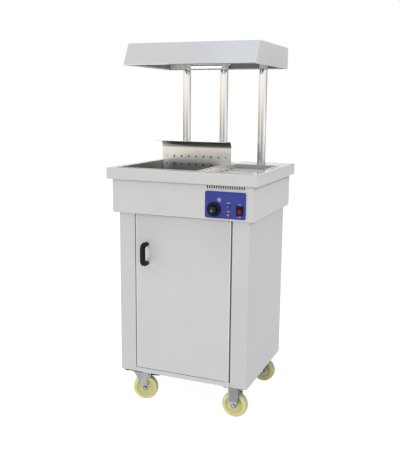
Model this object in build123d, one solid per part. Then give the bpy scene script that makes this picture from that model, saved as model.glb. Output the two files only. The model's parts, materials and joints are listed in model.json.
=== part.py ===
from build123d import *
import math
import os

# Driving dimensions in millimetres. X runs to the right, Y to the back and Z up from the floor.

# Sheet metal and fits
SHEET = 1.5                 # folded steel sheet
BEND = 2.5                  # outside radius of a fold
FIT_GAP = 0.3               # between fixed pieces that slide into each other
RUN_GAP = 0.05              # radial, round a pin or shaft that turns
SIDE_GAP = 0.5              # between faces that turn past each other
LIFT_GAP = 2.0              # round a piece that lifts out
CUT = 1.0                   # how far a cut runs past the face that it opens

# Castors
WHEEL_DIAMETER = 109
WHEEL_WIDTH = 35
WHEEL_EDGE = 7              # rounding of the tread's edges
WHEEL_RIM = 15              # radial width of the rim
WHEEL_HUB_DIAMETER = 32
WHEEL_WEB = 14              # thickness between rim and hub
HUB_OVERHANG = 2            # hub past the tread on each side
AXLE_DIAMETER = 10
AXLE_HEAD_WIDTH = 16
AXLE_HEAD_HEIGHT = 6
FORK_SHEET = 2.5
PLATE_THICKNESS = 3
PLATE_LENGTH = 92
PLATE_WIDTH = 76
PLATE_HOLE_LENGTH = 70      # bolt spacing along the plate
PLATE_HOLE_WIDTH = 54       # bolt spacing across the plate
RACE_HEIGHT = 6.5           # swivel bearing between plate and fork
RACE_DIAMETER = 52
CROWN_THICKNESS = 3
KING_PIN_DIAMETER = 12
KING_PIN_HEAD = 3.7         # height of the riveted head under the crown
KING_PIN_HEAD_DIAMETER = 22
WHEEL_TOP_ROOM = 13.5       # from the wheel's top to the riveted head
TRAIL = 38                  # from the swivel axis to the axle
SWIVEL_ANGLE = 14           # front left castor, from +X towards +Y
REAR_SWIVEL_ANGLE = -24
CASTOR_SIDE_INSET = 60      # cabinet side to the plate's centre
CASTOR_FRONT_INSET = 37
CASTOR_BACK_INSET = 47
FOOT_RADIUS = 10            # rounded end of a swivel fork's leg
RIGID_FOOT_RADIUS = 13.5    # rounded end of a rigid fork's leg
RIGID_RIM = 5               # turned-out edge of a rigid fork's leg
CROWN_LEAD = 12             # swivel fork's crown ahead of the swivel axis
RIGID_LEG_WIDTH = 48        # rigid fork's leg under its plate
RIGID_LEG_TAPER = 24        # where the rigid leg narrows, above the axle
PEDAL_AHEAD = 18            # pedal pivot past the axle, along the trail
PEDAL_OVER = 8              # pedal pivot above the wheel's top
PEDAL_EAR = 8               # fork leg round the pedal's pivot
PEDAL_EAR_DROP = 13         # where the leg narrows, under the pedal's pivot
PEDAL_LENGTH = 50
PEDAL_THICKNESS = 3
PEDAL_PIN_DIAMETER = 6
PEDAL_HUB_DIAMETER = 9.6
PEDAL_TRAVEL = 18           # degrees
BRAKE_GAP = 1.1             # brake lobe to the wheel, pressed
BOLT_DIAMETER = 8
BOLT_HEAD_WIDTH = 13
BOLT_HEAD_HEIGHT = 5.3
BOLT_TIP = 3                # bolt past its nut

# Worktop, with the housing and the cabinet set in under it
WORKTOP_WIDTH = 660
WORKTOP_DEPTH = 558
RIM_HEIGHT = 47.5
RIM_RETURN = 12
COVER_SCREW_MARGIN = 30     # lowest rear screw above the housing's floor
WORKTOP_EDGE = 3            # rounding along the worktop's edges
OVERHANG = 18.5             # worktop past the housing
HOUSING_HEIGHT = 189        # cabinet top to worktop surface
HOUSING_FLANGE = 20
CABINET_INSET = 20.5        # housing past the cabinet at front and sides
CABINET_BACK_INSET = 10.5   # housing past the cabinet at the back
CABINET_HEIGHT = 706
STILE_WIDTH = 73
STILE_RETURN = 25
REAR_FLANGE = 20
RAIL_HEIGHT = 19            # visible rail under the door
PAN_FLANGE = 15
SCREW_DIAMETER = 4
SCREW_HEAD_DIAMETER = 8
SCREW_HEAD_HEIGHT = 2.5

# Door
DOOR_THICKNESS = 20
DOOR_LATCH_GAP = 4.5
DOOR_HINGE_GAP = 6
DOOR_BOTTOM_GAP = 1.0       # lower hinge bracket to the door
DOOR_TOP_GAP = 3.5          # door to the upper hinge bracket
HINGE_INSET = 10            # hinge axis from the door's edge and from its front
HINGE_PIN_DIAMETER = 8
HINGE_PIN_LENGTH = 20
BUSH_DIAMETER = 14
BUSH_LENGTH = 15
HANDLE_INSET = 49.5         # door's latch edge to the handle
HANDLE_HEIGHT = 535         # above the cabinet's bottom
HANDLE_SPACING = 82         # between the feet
HANDLE_STANDOFF = 36        # door to the bar's middle
HANDLE_WIDTH = 22
HANDLE_THICKNESS = 18
HANDLE_BEND = 16
HANDLE_ROUNDING = 7
HANDLE_SCREW_REACH = 9      # screw in the handle's foot
CATCH_WIDTH = 46
CATCH_HEIGHT = 18
CATCH_DEPTH = 16
STRIKER_GAP = 0.5

# Wells and what lifts out of them
WELL_FRONT_MARGIN = 29      # worktop edge to the opening
CHIP_WELL_MARGIN = 48
RACK_WELL_MARGIN = 34
RACK_WELL_WIDTH = 192
RACK_WELL_LENGTH = 360
DIVIDER = 38                # between the two openings
WELL_POST_MARGIN = 41       # chip well's opening to the posts
WELL_FLANGE = 10
WELL_CORNER = 8
UPSTAND_HEIGHT = 45         # chip well's back edge above the worktop
UPSTAND_INSET = 14          # from the well's sides
CHIP_WELL_DEPTH = 130
RACK_WELL_DEPTH = 50
INSERT_SHEET = 1.2
INSERT_RAISE = 25           # perforated floor above the well's floor
INSERT_RISE = 95            # top of the lip above the worktop
INSERT_LIP = 75             # how far the lip reaches forward
INSERT_LIP_BEND = 26
INSERT_FLOOR_BEND = 12
HOLE_DIAMETER = 8.5
HOLE_PITCH = 36.9
HOLE_ROW_PITCH = 36
HOLE_TOP_RISE = 22          # top row above the worktop
HOLE_MARGIN = 20            # least distance from a hole to an edge
RACK_TEETH = 5
RACK_TAIL = 40              # flat stretch behind the last step
RACK_RIDGE_DROP = 13        # ridges below the worktop
RACK_NOSE = 8               # flat length that the steep face of a step covers

# Heating and wiring inside the housing
ELEMENT_DIAMETER = 8
ELEMENT_PITCH = 56
ELEMENT_RUNS = 5
ELEMENT_MARGIN = 60
CLAMP_WIDTH = 20
TERMINAL_LENGTH = 60
TERMINAL_WIDTH = 24
TERMINAL_HEIGHT = 22
TERMINAL_INSET = 60
TERMINAL_WAYS = 5
TERMINAL_HOLE_DIAMETER = 7
TERMINAL_HOLE_DEPTH = 11
GLAND_DIAMETER = 20
GLAND_BORE = 10
GLAND_CAP_DIAMETER = 22
GLAND_HEX_WIDTH = 26
GLAND_COLLAR = 8            # outer hexagon's height
GLAND_NUT = 6               # inner nut's height
GLAND_INSIDE = 12           # thread inside the cover
GLAND_PROTRUSION = 30
GLAND_SIDE_INSET = 110
GLAND_HEIGHT = 40           # above the housing's floor

# Control panel on the housing's front
PANEL_WIDTH = 179
PANEL_HEIGHT = 115
PANEL_SIDE_MARGIN = 27.5
PANEL_BOTTOM_MARGIN = 4
PANEL_THICKNESS = 2
PANEL_CORNER = 12.5
PANEL_BORDER = 3.5          # silver edge round the fascia
FASCIA_THICKNESS = 0.8
WINDOW_MARGIN = 10.5        # panel past the window in the housing
KNOB_INSET = 42.5           # from the panel's left edge
KNOB_HEIGHT = 38.5          # from the panel's bottom edge
KNOB_DIAMETER = 58
KNOB_SKIRT = 6
KNOB_DEPTH = 23
KNOB_CHAMFER = 2
KNOB_BORE = 14              # shaft in the knob
GRIP_DIAMETER = 36
GRIP_ROUNDING = 2.6
SHAFT_DIAMETER = 6
SHAFT_HOLE_GAP = 3          # radial, round the shaft in the panel
SHAFT_REACH = 23            # shaft in the thermostat
THERMOSTAT_WIDTH = 42
THERMOSTAT_HEIGHT = 40
THERMOSTAT_DEPTH = 38
PILOT_INSET = 75.5          # from the panel's right edge
PILOT_LOW = 20              # from the panel's bottom edge
PILOT_PITCH = 33
PILOT_DIAMETER = 13.5
PILOT_BODY_DIAMETER = 10
PILOT_BODY_DEPTH = 26
PILOT_RIM = 2
PILOT_STEP = 1              # rim past the dome
SWITCH_INSET = 29           # from the panel's right edge
SWITCH_HEIGHT = 38.5        # from the panel's bottom edge
SWITCH_WIDTH = 30
SWITCH_LENGTH = 37
SWITCH_RIM = 2
SWITCH_WALL = 5
SWITCH_DEPTH = 26
ROCKER_TILT = 9             # degrees either side of the middle
ROCKER_PIN_DIAMETER = 3
ROCKER_CREASE = 4.5         # meeting of the two faces in front of the pin
ROCKER_BELLY = 3            # rocker behind its pin
ROCKER_ROOM = 10            # pocket behind the pin
VENT_COUNT = 17
VENT_PITCH = 9.6
VENT_WIDTH = 5.8
VENT_HEIGHT = 13
VENT_GAP = 6                # panel to vents

# Posts, hood and lamp
POST_DIAMETER = 38
POST_WALL = 1.5
POST_END_MARGIN = 102       # hood's ends to the outer posts' axes
POST_REAR_MARGIN = 49       # worktop's rear edge to the posts' axis
STUD_DIAMETER = 16
STUD_BORE = 9
STUD_LENGTH = 20
PLUG_HEIGHT = 8
NUT_WIDTH = 24
NUT_HEIGHT = 9
HOOD_CLEARANCE = 417        # worktop to the hood's lower edge
HOOD_WIDTH = 574
HOOD_HEIGHT = 91
HOOD_DEPTH = 461            # along the lower edge
HOOD_SLOPE = 48             # how far the front leans back
HOOD_LIP = 10
HOOD_POST_GAP = 2           # posts to the rear lip
CHANNEL_RISE = 30           # posts' tops above the hood's lower edge
CHANNEL_WIDTH = 46
CHANNEL_OVERHANG = 50       # channel past the outer posts
LAMP_DIAMETER = 13
LAMP_LENGTH = 142
LAMP_ROUNDING = 4.3
LAMP_CAP_DIAMETER = 6.5
LAMP_CAP_LENGTH = 9.6
LAMP_RISE = 1               # lamp axis above the hood's lower edge
LAMP_FRONT_INSET = 215      # hood's lower front edge to the lamp
HOLDER_LENGTH = 16
HOLDER_WIDTH = 22
HOLDER_HEIGHT = 26
BRACKET_FOOT = 20
REFLECTOR_WIDTH = 116
REFLECTOR_TOP = 50
REFLECTOR_RISE = 9          # reflector's edge above the hood's lower edge
REFLECTOR_HEIGHT = 32

# Places worked out from the driving dimensions
wheel_radius = WHEEL_DIAMETER / 2
plate_bottom = (WHEEL_DIAMETER + WHEEL_TOP_ROOM + KING_PIN_HEAD + SIDE_GAP + CROWN_THICKNESS + SIDE_GAP
                + RACE_HEIGHT)
cabinet_bottom = plate_bottom + PLATE_THICKNESS
cabinet_top = cabinet_bottom + CABINET_HEIGHT
worktop_top = cabinet_top + HOUSING_HEIGHT
worktop_under = worktop_top - SHEET
hood_bottom = worktop_top + HOOD_CLEARANCE
hood_top = hood_bottom + HOOD_HEIGHT
housing_half = WORKTOP_WIDTH / 2 - OVERHANG
housing_front = -WORKTOP_DEPTH / 2 + OVERHANG
housing_back = WORKTOP_DEPTH / 2 - OVERHANG
cabinet_half = housing_half - CABINET_INSET
cabinet_front = housing_front + CABINET_INSET
cabinet_back = housing_back - CABINET_BACK_INSET
stile_edge = cabinet_half - STILE_WIDTH
post_y = WORKTOP_DEPTH / 2 - POST_REAR_MARGIN
post_pitch = HOOD_WIDTH / 2 - POST_END_MARGIN
hood_back = post_y + POST_DIAMETER / 2 + HOOD_POST_GAP + HOOD_LIP
hood_front = hood_back - HOOD_DEPTH
well_front = -WORKTOP_DEPTH / 2 + WELL_FRONT_MARGIN
chip_back = post_y - POST_DIAMETER / 2 - WELL_POST_MARGIN
rack_back = well_front + RACK_WELL_LENGTH
rack_right = WORKTOP_WIDTH / 2 - RACK_WELL_MARGIN
rack_left = rack_right - RACK_WELL_WIDTH
chip_left = -WORKTOP_WIDTH / 2 + CHIP_WELL_MARGIN
chip_right = rack_left - DIVIDER
chip_floor = worktop_top - CHIP_WELL_DEPTH
rack_floor = worktop_top - RACK_WELL_DEPTH
door_left = -stile_edge + DOOR_LATCH_GAP
door_right = stile_edge - DOOR_HINGE_GAP
rail_top = cabinet_bottom + RAIL_HEIGHT
door_bottom = rail_top + SHEET + DOOR_BOTTOM_GAP
door_top = cabinet_top - SHEET - DOOR_TOP_GAP
door_back = cabinet_front + DOOR_THICKNESS + SHEET
hinge_x = door_right - HINGE_INSET
hinge_y = cabinet_front + HINGE_INSET
panel_right = housing_half - PANEL_SIDE_MARGIN
panel_left = panel_right - PANEL_WIDTH
panel_bottom = cabinet_top + PANEL_BOTTOM_MARGIN
panel_top = panel_bottom + PANEL_HEIGHT
panel_face = housing_front - PANEL_THICKNESS
fascia_face = panel_face - FASCIA_THICKNESS
castors = {
    "front_left": (-cabinet_half + CASTOR_SIDE_INSET, cabinet_front + CASTOR_FRONT_INSET),
    "rear_left": (-cabinet_half + CASTOR_SIDE_INSET, cabinet_back - CASTOR_BACK_INSET),
    "front_right": (cabinet_half - CASTOR_SIDE_INSET, cabinet_front + CASTOR_FRONT_INSET),
    "rear_right": (cabinet_half - CASTOR_SIDE_INSET, cabinet_back - CASTOR_BACK_INSET),
}
fork_inside = WHEEL_WIDTH / 2 + HUB_OVERHANG + SIDE_GAP
fork_outside = fork_inside + FORK_SHEET
crown_top = plate_bottom - RACE_HEIGHT - SIDE_GAP

os.makedirs("parts", exist_ok=True)


def save(name, *solids):
    """Write one node: a single solid, or a group of like solids."""
    shape = solids[0] if len(solids) == 1 else Compound(list(solids))
    export_step(shape, f"parts/{name}.step")


def block(x_span, y_span, z_span):
    """Box between two faces along each axis."""
    spans = (x_span, y_span, z_span)
    middle = [(low + high) / 2 for low, high in spans]
    size = [high - low for low, high in spans]
    return Pos(*middle) * Box(*size)


def bar(axis, start, length, radius):
    """Cylinder from a start point along X, Y or Z."""
    turn = {"x": Rot(0, 90, 0), "y": Rot(-90, 0, 0), "z": Rot(0, 0, 0)}[axis]
    upright = Cylinder(radius, length, align=(Align.CENTER, Align.CENTER, Align.MIN))
    return Pos(*start) * turn * upright


def bore(axis, start, length, radius):
    """Cutter for a round hole, running past both of its ends."""
    before = tuple(place - CUT * (name == axis) for name, place in zip("xyz", start))
    return bar(axis, before, length + 2 * CUT, radius)


def hexagon(axis, start, length, width):
    """Hexagonal prism, given across its flats, from a start point along X, Y or Z."""
    turn = {"x": Rot(0, 90, 0), "y": Rot(-90, 0, 0), "z": Rot(0, 0, 0)}[axis]
    return Pos(*start) * turn * extrude(RegularPolygon(width / math.sqrt(3), 6), length)


def folded(points, radii, thickness, plane, length):
    """Sheet folded along a path, thickened to the path's left and drawn out along the plane's normal."""
    path = FilletPolyline(*points, radius=radii)
    outline = Wire(path.edges()).offset_2d(thickness, side=Side.LEFT, closed=True)
    return extrude(plane * Face(outline), length, dir=plane.z_dir)


def rounded_slab(x_span, y_span, z_span, corner):
    """Slab with rounded upright corners."""
    outline = RectangleRounded(x_span[1] - x_span[0], y_span[1] - y_span[0], corner)
    centre = Pos((x_span[0] + x_span[1]) / 2, (y_span[0] + y_span[1]) / 2, z_span[0])
    return centre * extrude(outline, z_span[1] - z_span[0])


def grown(span, amount):
    """Span moved outwards at both ends."""
    return (span[0] - amount, span[1] + amount)


def plate_holes(centre):
    """Bolt places of one castor plate."""
    xs = (centre[0] - PLATE_HOLE_LENGTH / 2, centre[0] + PLATE_HOLE_LENGTH / 2)
    ys = (centre[1] - PLATE_HOLE_WIDTH / 2, centre[1] + PLATE_HOLE_WIDTH / 2)
    return [(x, y) for x in xs for y in ys]


# Lower cabinet: sides folded round into the stiles, back, floor pan with the bottom rail
def side_panel():
    """Left side: rear flange, side, front stile and its return behind the door's edge."""
    points = [
        (-cabinet_half + REAR_FLANGE, cabinet_back),
        (-cabinet_half, cabinet_back),
        (-cabinet_half, cabinet_front),
        (-stile_edge, cabinet_front),
        (-stile_edge, cabinet_front + STILE_RETURN),
    ]
    return folded(points, BEND, SHEET, Plane.XY.offset(cabinet_bottom), CABINET_HEIGHT)


def back_panel():
    """Flat back, seated against the rear flanges."""
    half = cabinet_half - BEND
    y_span = (cabinet_back - 2 * SHEET, cabinet_back - SHEET)
    return block((-half, half), y_span, (cabinet_bottom, cabinet_top))


def cabinet_floor():
    """Pan with turned-up edges; its front edge is the rail under the door."""
    half = cabinet_half - SHEET - FIT_GAP
    rail_half = stile_edge - FIT_GAP
    step = cabinet_front + STILE_RETURN + FIT_GAP
    back = cabinet_back - 2 * SHEET
    floor = (cabinet_bottom, cabinet_bottom + SHEET)
    edge = (cabinet_bottom, cabinet_bottom + RAIL_HEIGHT)
    pan = block((-half, half), (step, back), floor)
    pan += block((-rail_half, rail_half), (cabinet_front, step), floor)
    corner = (stile_edge + SHEET + FIT_GAP, half)
    for x_span in (corner, (-corner[1], -corner[0])):
        pan += block(x_span, (cabinet_front + SHEET + FIT_GAP, step), floor)
    pan += block((-half, -half + SHEET), (step, back), edge)
    pan += block((half - SHEET, half), (step, back), edge)
    pan += block((-half, half), (back - SHEET, back), edge)
    pan += block((-rail_half, rail_half), (cabinet_front, cabinet_front + SHEET), edge)
    pan += block((-rail_half, rail_half), (cabinet_front, step), (edge[1] - SHEET, edge[1]))
    holes = [
        bore("z", (x, y, cabinet_bottom), SHEET, BOLT_DIAMETER / 2 + FIT_GAP)
        for centre in castors.values()
        for x, y in plate_holes(centre)
    ]
    return pan - holes


left_panel = side_panel()
save("left_side_panel", left_panel)
save("right_side_panel", mirror(left_panel, about=Plane.YZ))
save("back_panel", back_panel())
save("cabinet_floor", cabinet_floor())


# Door: skin, back plate, bushes, handle, and the brackets and catch that hold it
def door_skin():
    """Outer pan of the door, open at the back, bored for the hinge bushes."""
    outside = block((door_left, door_right), (cabinet_front, door_back - SHEET), (door_bottom, door_top))
    inside = block(
        (door_left + SHEET, door_right - SHEET),
        (cabinet_front + SHEET, door_back),
        (door_bottom + SHEET, door_top - SHEET),
    )
    foot = (hinge_x, hinge_y, door_bottom)
    bush_hole = bore("z", foot, door_top - door_bottom, BUSH_DIAMETER / 2 + RUN_GAP)
    screw_radius = SCREW_DIAMETER / 2 + FIT_GAP
    screw_holes = [bore("y", (handle_x, cabinet_front, z), SHEET, screw_radius) for z in handle_feet]
    return outside - inside - bush_hole - screw_holes


def bush(z):
    """Plain sleeve for a hinge pin, starting at height z."""
    sleeve = bar("z", (hinge_x, hinge_y, z), BUSH_LENGTH, BUSH_DIAMETER / 2)
    return sleeve - bore("z", (hinge_x, hinge_y, z), BUSH_LENGTH, HINGE_PIN_DIAMETER / 2 + RUN_GAP)


def hinge_bracket(z_span, pin_z):
    """Flat bracket with a fixed pin, pin_z being where the pin starts."""
    x_span = (hinge_x - BUSH_DIAMETER, stile_edge - FIT_GAP)
    bracket = block(x_span, (cabinet_front + SHEET, cabinet_front + STILE_RETURN), z_span)
    return bracket + bar("z", (hinge_x, hinge_y, pin_z), HINGE_PIN_LENGTH, HINGE_PIN_DIAMETER / 2)


def door_handle():
    """Bow handle: a rounded bar bent out from two feet."""
    path = FilletPolyline(
        (handle_x, cabinet_front, handle_feet[0]),
        (handle_x, cabinet_front - HANDLE_STANDOFF, handle_feet[0]),
        (handle_x, cabinet_front - HANDLE_STANDOFF, handle_feet[1]),
        (handle_x, cabinet_front, handle_feet[1]),
        radius=HANDLE_BEND,
    )
    start = Plane(path @ 0, x_dir=(1, 0, 0), z_dir=path % 0)
    section = start * RectangleRounded(HANDLE_WIDTH, HANDLE_THICKNESS, HANDLE_ROUNDING)
    tapped_from = cabinet_front - HANDLE_SCREW_REACH
    tapped_radius = SCREW_DIAMETER / 2 + RUN_GAP
    tapped = [bore("y", (handle_x, tapped_from, z), HANDLE_SCREW_REACH, tapped_radius) for z in handle_feet]
    return sweep(section, path=path) - tapped


def handle_screw(z):
    """Screw from inside the door into a handle foot."""
    head = bar("y", (handle_x, cabinet_front + SHEET, z), SCREW_HEAD_HEIGHT, SCREW_HEAD_DIAMETER / 2)
    shank = (handle_x, cabinet_front - HANDLE_SCREW_REACH, z)
    return head + bar("y", shank, HANDLE_SCREW_REACH + SHEET, SCREW_DIAMETER / 2)


handle_x = door_left + HANDLE_INSET
handle_middle = cabinet_bottom + HANDLE_HEIGHT
handle_feet = (handle_middle - HANDLE_SPACING / 2, handle_middle + HANDLE_SPACING / 2)
catch_front = door_back + SHEET + STRIKER_GAP
catch_span = (handle_x - CATCH_WIDTH / 2, handle_x + CATCH_WIDTH / 2)
striker_z = (cabinet_top - CATCH_HEIGHT, door_top - SHEET)

save("door_skin", door_skin())
save(
    "door_back_plate",
    block((door_left, door_right), (door_back - SHEET, door_back), (door_bottom, door_top)),
)
save("hinge_bushes", bush(door_bottom), bush(door_top - BUSH_LENGTH))
save(
    "hinge_brackets",
    hinge_bracket((rail_top, rail_top + SHEET), rail_top),
    hinge_bracket((cabinet_top - SHEET, cabinet_top), cabinet_top - HINGE_PIN_LENGTH),
)
save("door_handle", door_handle())
save("handle_screws", *[handle_screw(z) for z in handle_feet])
save("catch_striker", block(catch_span, (door_back, door_back + SHEET), striker_z))
save(
    "magnetic_catch",
    block(catch_span, (catch_front, catch_front + CATCH_DEPTH), (cabinet_top - CATCH_HEIGHT, cabinet_top)),
)


# Upper housing: floor pan, wrap of front and sides, rear cover
def housing_floor():
    """Shallow pan on top of the cabinet."""
    x_span = (-housing_half + SHEET + FIT_GAP, housing_half - SHEET - FIT_GAP)
    y_span = (housing_front + SHEET + FIT_GAP, housing_back - 2 * SHEET - FIT_GAP)
    pan = rounded_slab(x_span, y_span, (cabinet_top, cabinet_top + PAN_FLANGE), BEND)
    inside = (cabinet_top + SHEET, cabinet_top + PAN_FLANGE + CUT)
    return pan - rounded_slab(grown(x_span, -SHEET), grown(y_span, -SHEET), inside, BEND - SHEET)


def housing_wrap():
    """Front and both sides in one folded sheet, with the panel window and the vent slots."""
    back = housing_back - SHEET
    points = [
        (-housing_half + HOUSING_FLANGE, back),
        (-housing_half, back),
        (-housing_half, housing_front),
        (housing_half, housing_front),
        (housing_half, back),
        (housing_half - HOUSING_FLANGE, back),
    ]
    wrap = folded(points, BEND, SHEET, Plane.XY.offset(cabinet_top), worktop_under - cabinet_top)
    through = grown((housing_front, housing_front + SHEET), CUT)
    window = block(
        (panel_left + WINDOW_MARGIN, panel_right - WINDOW_MARGIN),
        through,
        (panel_bottom + WINDOW_MARGIN, panel_top - WINDOW_MARGIN),
    )
    middle = (panel_left + panel_right) / 2
    slots = []
    for i in range(VENT_COUNT):
        x = middle + (i - (VENT_COUNT - 1) / 2) * VENT_PITCH
        z = panel_top + VENT_GAP
        slots.append(block((x - VENT_WIDTH / 2, x + VENT_WIDTH / 2), through, (z, z + VENT_HEIGHT)))
    screw_radius = SCREW_DIAMETER / 2 + FIT_GAP
    screw_holes = [bore("y", (x, back - SHEET, z), SHEET, screw_radius) for x, z in cover_screws]
    return wrap - window - slots - screw_holes


def rear_cover():
    """Flat cover over the rear flanges, with the cord's inlet."""
    inner = housing_back - SHEET
    cover = block((-housing_half, housing_half), (inner, housing_back), (cabinet_top, worktop_under))
    holes = [bore("y", (x, inner, z), SHEET, SCREW_DIAMETER / 2 + FIT_GAP) for x, z in cover_screws]
    holes.append(bore("y", (gland_x, inner, gland_z), SHEET, GLAND_DIAMETER / 2 + FIT_GAP))
    return cover - holes


def cover_screw(x, z):
    """Round-headed screw through the rear cover into a flange."""
    head = bar("y", (x, housing_back, z), SCREW_HEAD_HEIGHT, SCREW_HEAD_DIAMETER / 2)
    return head + bar("y", (x, housing_back - 3 * SHEET, z), 3 * SHEET, SCREW_DIAMETER / 2)


def cable_gland():
    """Cord inlet: nut inside, collar and dome outside, bored through."""
    inner = housing_back - SHEET
    end = (gland_x, inner - GLAND_INSIDE, gland_z)
    collar_back = housing_back + GLAND_COLLAR
    gland = bar("y", end, GLAND_INSIDE + SHEET, GLAND_DIAMETER / 2)
    gland += hexagon("y", (gland_x, inner - GLAND_NUT, gland_z), GLAND_NUT, GLAND_HEX_WIDTH)
    gland += hexagon("y", (gland_x, housing_back, gland_z), GLAND_COLLAR, GLAND_HEX_WIDTH)
    cap_length = GLAND_PROTRUSION - GLAND_COLLAR
    gland += bar("y", (gland_x, collar_back, gland_z), cap_length, GLAND_CAP_DIAMETER / 2)
    return gland - bore("y", end, GLAND_INSIDE + SHEET + GLAND_PROTRUSION, GLAND_BORE / 2)


gland_x = housing_half - GLAND_SIDE_INSET
gland_z = cabinet_top + GLAND_HEIGHT
screw_x = housing_half - HOUSING_FLANGE / 2
screw_zs = (cabinet_top + COVER_SCREW_MARGIN, worktop_under - RIM_HEIGHT)
cover_screws = [(x, z) for x in (-screw_x, screw_x) for z in (screw_zs[0], sum(screw_zs) / 2, screw_zs[1])]
save("housing_floor", housing_floor())
save("housing_wrap", housing_wrap())
save("housing_rear_cover", rear_cover())
save("rear_cover_screws", *[cover_screw(x, z) for x, z in cover_screws])
save("cable_gland", cable_gland())


# Worktop and the two wells that drop into it
def worktop():
    """Top sheet with a deep rim turned down and in on all four sides."""
    x_span = (-WORKTOP_WIDTH / 2, WORKTOP_WIDTH / 2)
    y_span = (-WORKTOP_DEPTH / 2, WORKTOP_DEPTH / 2)
    rim_bottom = worktop_top - RIM_HEIGHT
    top = rounded_slab(x_span, y_span, (rim_bottom, worktop_top), WORKTOP_EDGE)
    top = fillet(top.faces().sort_by(Axis.Z)[-1].edges(), WORKTOP_EDGE)
    top -= block(grown(x_span, -SHEET), grown(y_span, -SHEET), (rim_bottom + SHEET, worktop_under))
    inside_return = grown(x_span, -RIM_RETURN), grown(y_span, -RIM_RETURN)
    top -= block(*inside_return, grown((rim_bottom, rim_bottom + SHEET), CUT))
    for x_well, back in (((chip_left, chip_right), chip_back), ((rack_left, rack_right), rack_back)):
        hole = grown(x_well, SHEET + FIT_GAP), grown((well_front, back), SHEET + FIT_GAP)
        top -= rounded_slab(*hole, grown((worktop_under, worktop_top), CUT), WELL_CORNER + SHEET)
    return top - [bore("z", (x, post_y, worktop_under), SHEET, STUD_DIAMETER / 2 + FIT_GAP) for x in post_xs]


def well(x_span, back, floor):
    """Drop-in pan with a narrow flange on the worktop."""
    y_span = (well_front, back)
    rim = (worktop_top, worktop_top + SHEET)
    outside = grown(x_span, SHEET), grown(y_span, SHEET)
    flange = grown(x_span, WELL_FLANGE), grown(y_span, WELL_FLANGE)
    pan = rounded_slab(*outside, (floor - SHEET, worktop_top), WELL_CORNER + SHEET)
    pan += rounded_slab(*flange, rim, WELL_CORNER + WELL_FLANGE)
    return pan - rounded_slab(x_span, y_span, (floor, rim[1] + CUT), WELL_CORNER)


def rear_upstand():
    """Edge of the chip well folded up and back on itself, behind the perforated plate."""
    return block(
        (chip_left + UPSTAND_INSET, chip_right - UPSTAND_INSET),
        (chip_back, chip_back + 2 * SHEET),
        (worktop_top, worktop_top + UPSTAND_HEIGHT),
    )


post_xs = (-post_pitch, 0, post_pitch)
save("worktop", worktop())
save("chip_well", well((chip_left, chip_right), chip_back, chip_floor) + rear_upstand())
save("rack_well", well((rack_left, rack_right), rack_back, rack_floor))


# Lift-out perforated plate: floor on turned-down legs, upright back, lip rolled forward
def perforated_insert():
    """One folded sheet with side legs, drilled in a square pattern."""
    left, right = chip_left + LIFT_GAP, chip_right - LIFT_GAP
    front = well_front + WELL_CORNER + INSERT_SHEET
    back = chip_back - WELL_CORNER
    floor = chip_floor + INSERT_RAISE
    lip = worktop_top + INSERT_RISE
    points = [(front, chip_floor), (front, floor), (back, floor), (back, lip), (back - INSERT_LIP, lip)]
    radii = [BEND, INSERT_FLOOR_BEND, INSERT_LIP_BEND]
    plate = folded(points, radii, INSERT_SHEET, Plane.YZ.offset(left), right - left)
    legs = (front, back - INSERT_FLOOR_BEND)
    plate += block((left, left + INSERT_SHEET), legs, (chip_floor, floor + INSERT_SHEET))
    plate += block((right - INSERT_SHEET, right), legs, (chip_floor, floor + INSERT_SHEET))
    columns = int((right - left - 2 * HOLE_MARGIN) // HOLE_PITCH) + 1
    xs = [(left + right) / 2 + (i - (columns - 1) / 2) * HOLE_PITCH for i in range(columns)]
    holes = []
    z = worktop_top + HOLE_TOP_RISE
    while z > floor + INSERT_FLOOR_BEND + HOLE_DIAMETER:
        holes += [bore("y", (x, back - INSERT_SHEET, z), INSERT_SHEET, HOLE_DIAMETER / 2) for x in xs]
        z -= HOLE_ROW_PITCH
    y = back - INSERT_FLOOR_BEND - HOLE_MARGIN
    while y > front + HOLE_MARGIN:
        holes += [bore("z", (x, y, floor), INSERT_SHEET, HOLE_DIAMETER / 2) for x in xs]
        y -= HOLE_ROW_PITCH
    return plate - holes


def carton_rack():
    """Lift-out rack of sloping steps, folded from one sheet."""
    left, right = rack_left + LIFT_GAP, rack_right - LIFT_GAP
    front, back = well_front + WELL_CORNER, rack_back - WELL_CORNER
    ridge = worktop_top - RACK_RIDGE_DROP
    pitch = (back - RACK_TAIL - front) / RACK_TEETH
    points = [(front, rack_floor)]
    for i in range(RACK_TEETH):
        foot = front + (i + 1) * pitch
        points.append((foot - RACK_NOSE, ridge))
        points.append((foot, rack_floor))
    points.append((back, rack_floor))
    return folded(points, BEND, INSERT_SHEET, Plane.YZ.offset(left), right - left)


save("perforated_insert", perforated_insert())
save("carton_rack", carton_rack())


# Heating under the chip well, and the terminal block on the housing's floor
element_z = chip_floor - SHEET - FIT_GAP - ELEMENT_DIAMETER / 2
element_x = (chip_left + chip_right) / 2
element_ys = (well_front + ELEMENT_MARGIN, chip_back - ELEMENT_MARGIN)


def heating_element():
    """Tube laid in straight runs joined by bends, flat under the well."""
    points = []
    for i in range(ELEMENT_RUNS):
        x = element_x + (i - (ELEMENT_RUNS - 1) / 2) * ELEMENT_PITCH
        ends = element_ys if i % 2 else element_ys[::-1]
        points += [(x, end, element_z) for end in ends]
    path = FilletPolyline(*points, radius=(ELEMENT_PITCH - ELEMENT_DIAMETER) / 2)
    start = Plane(path @ 0, z_dir=path % 0)
    return sweep(start * Circle(ELEMENT_DIAMETER / 2), path=path)


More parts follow.
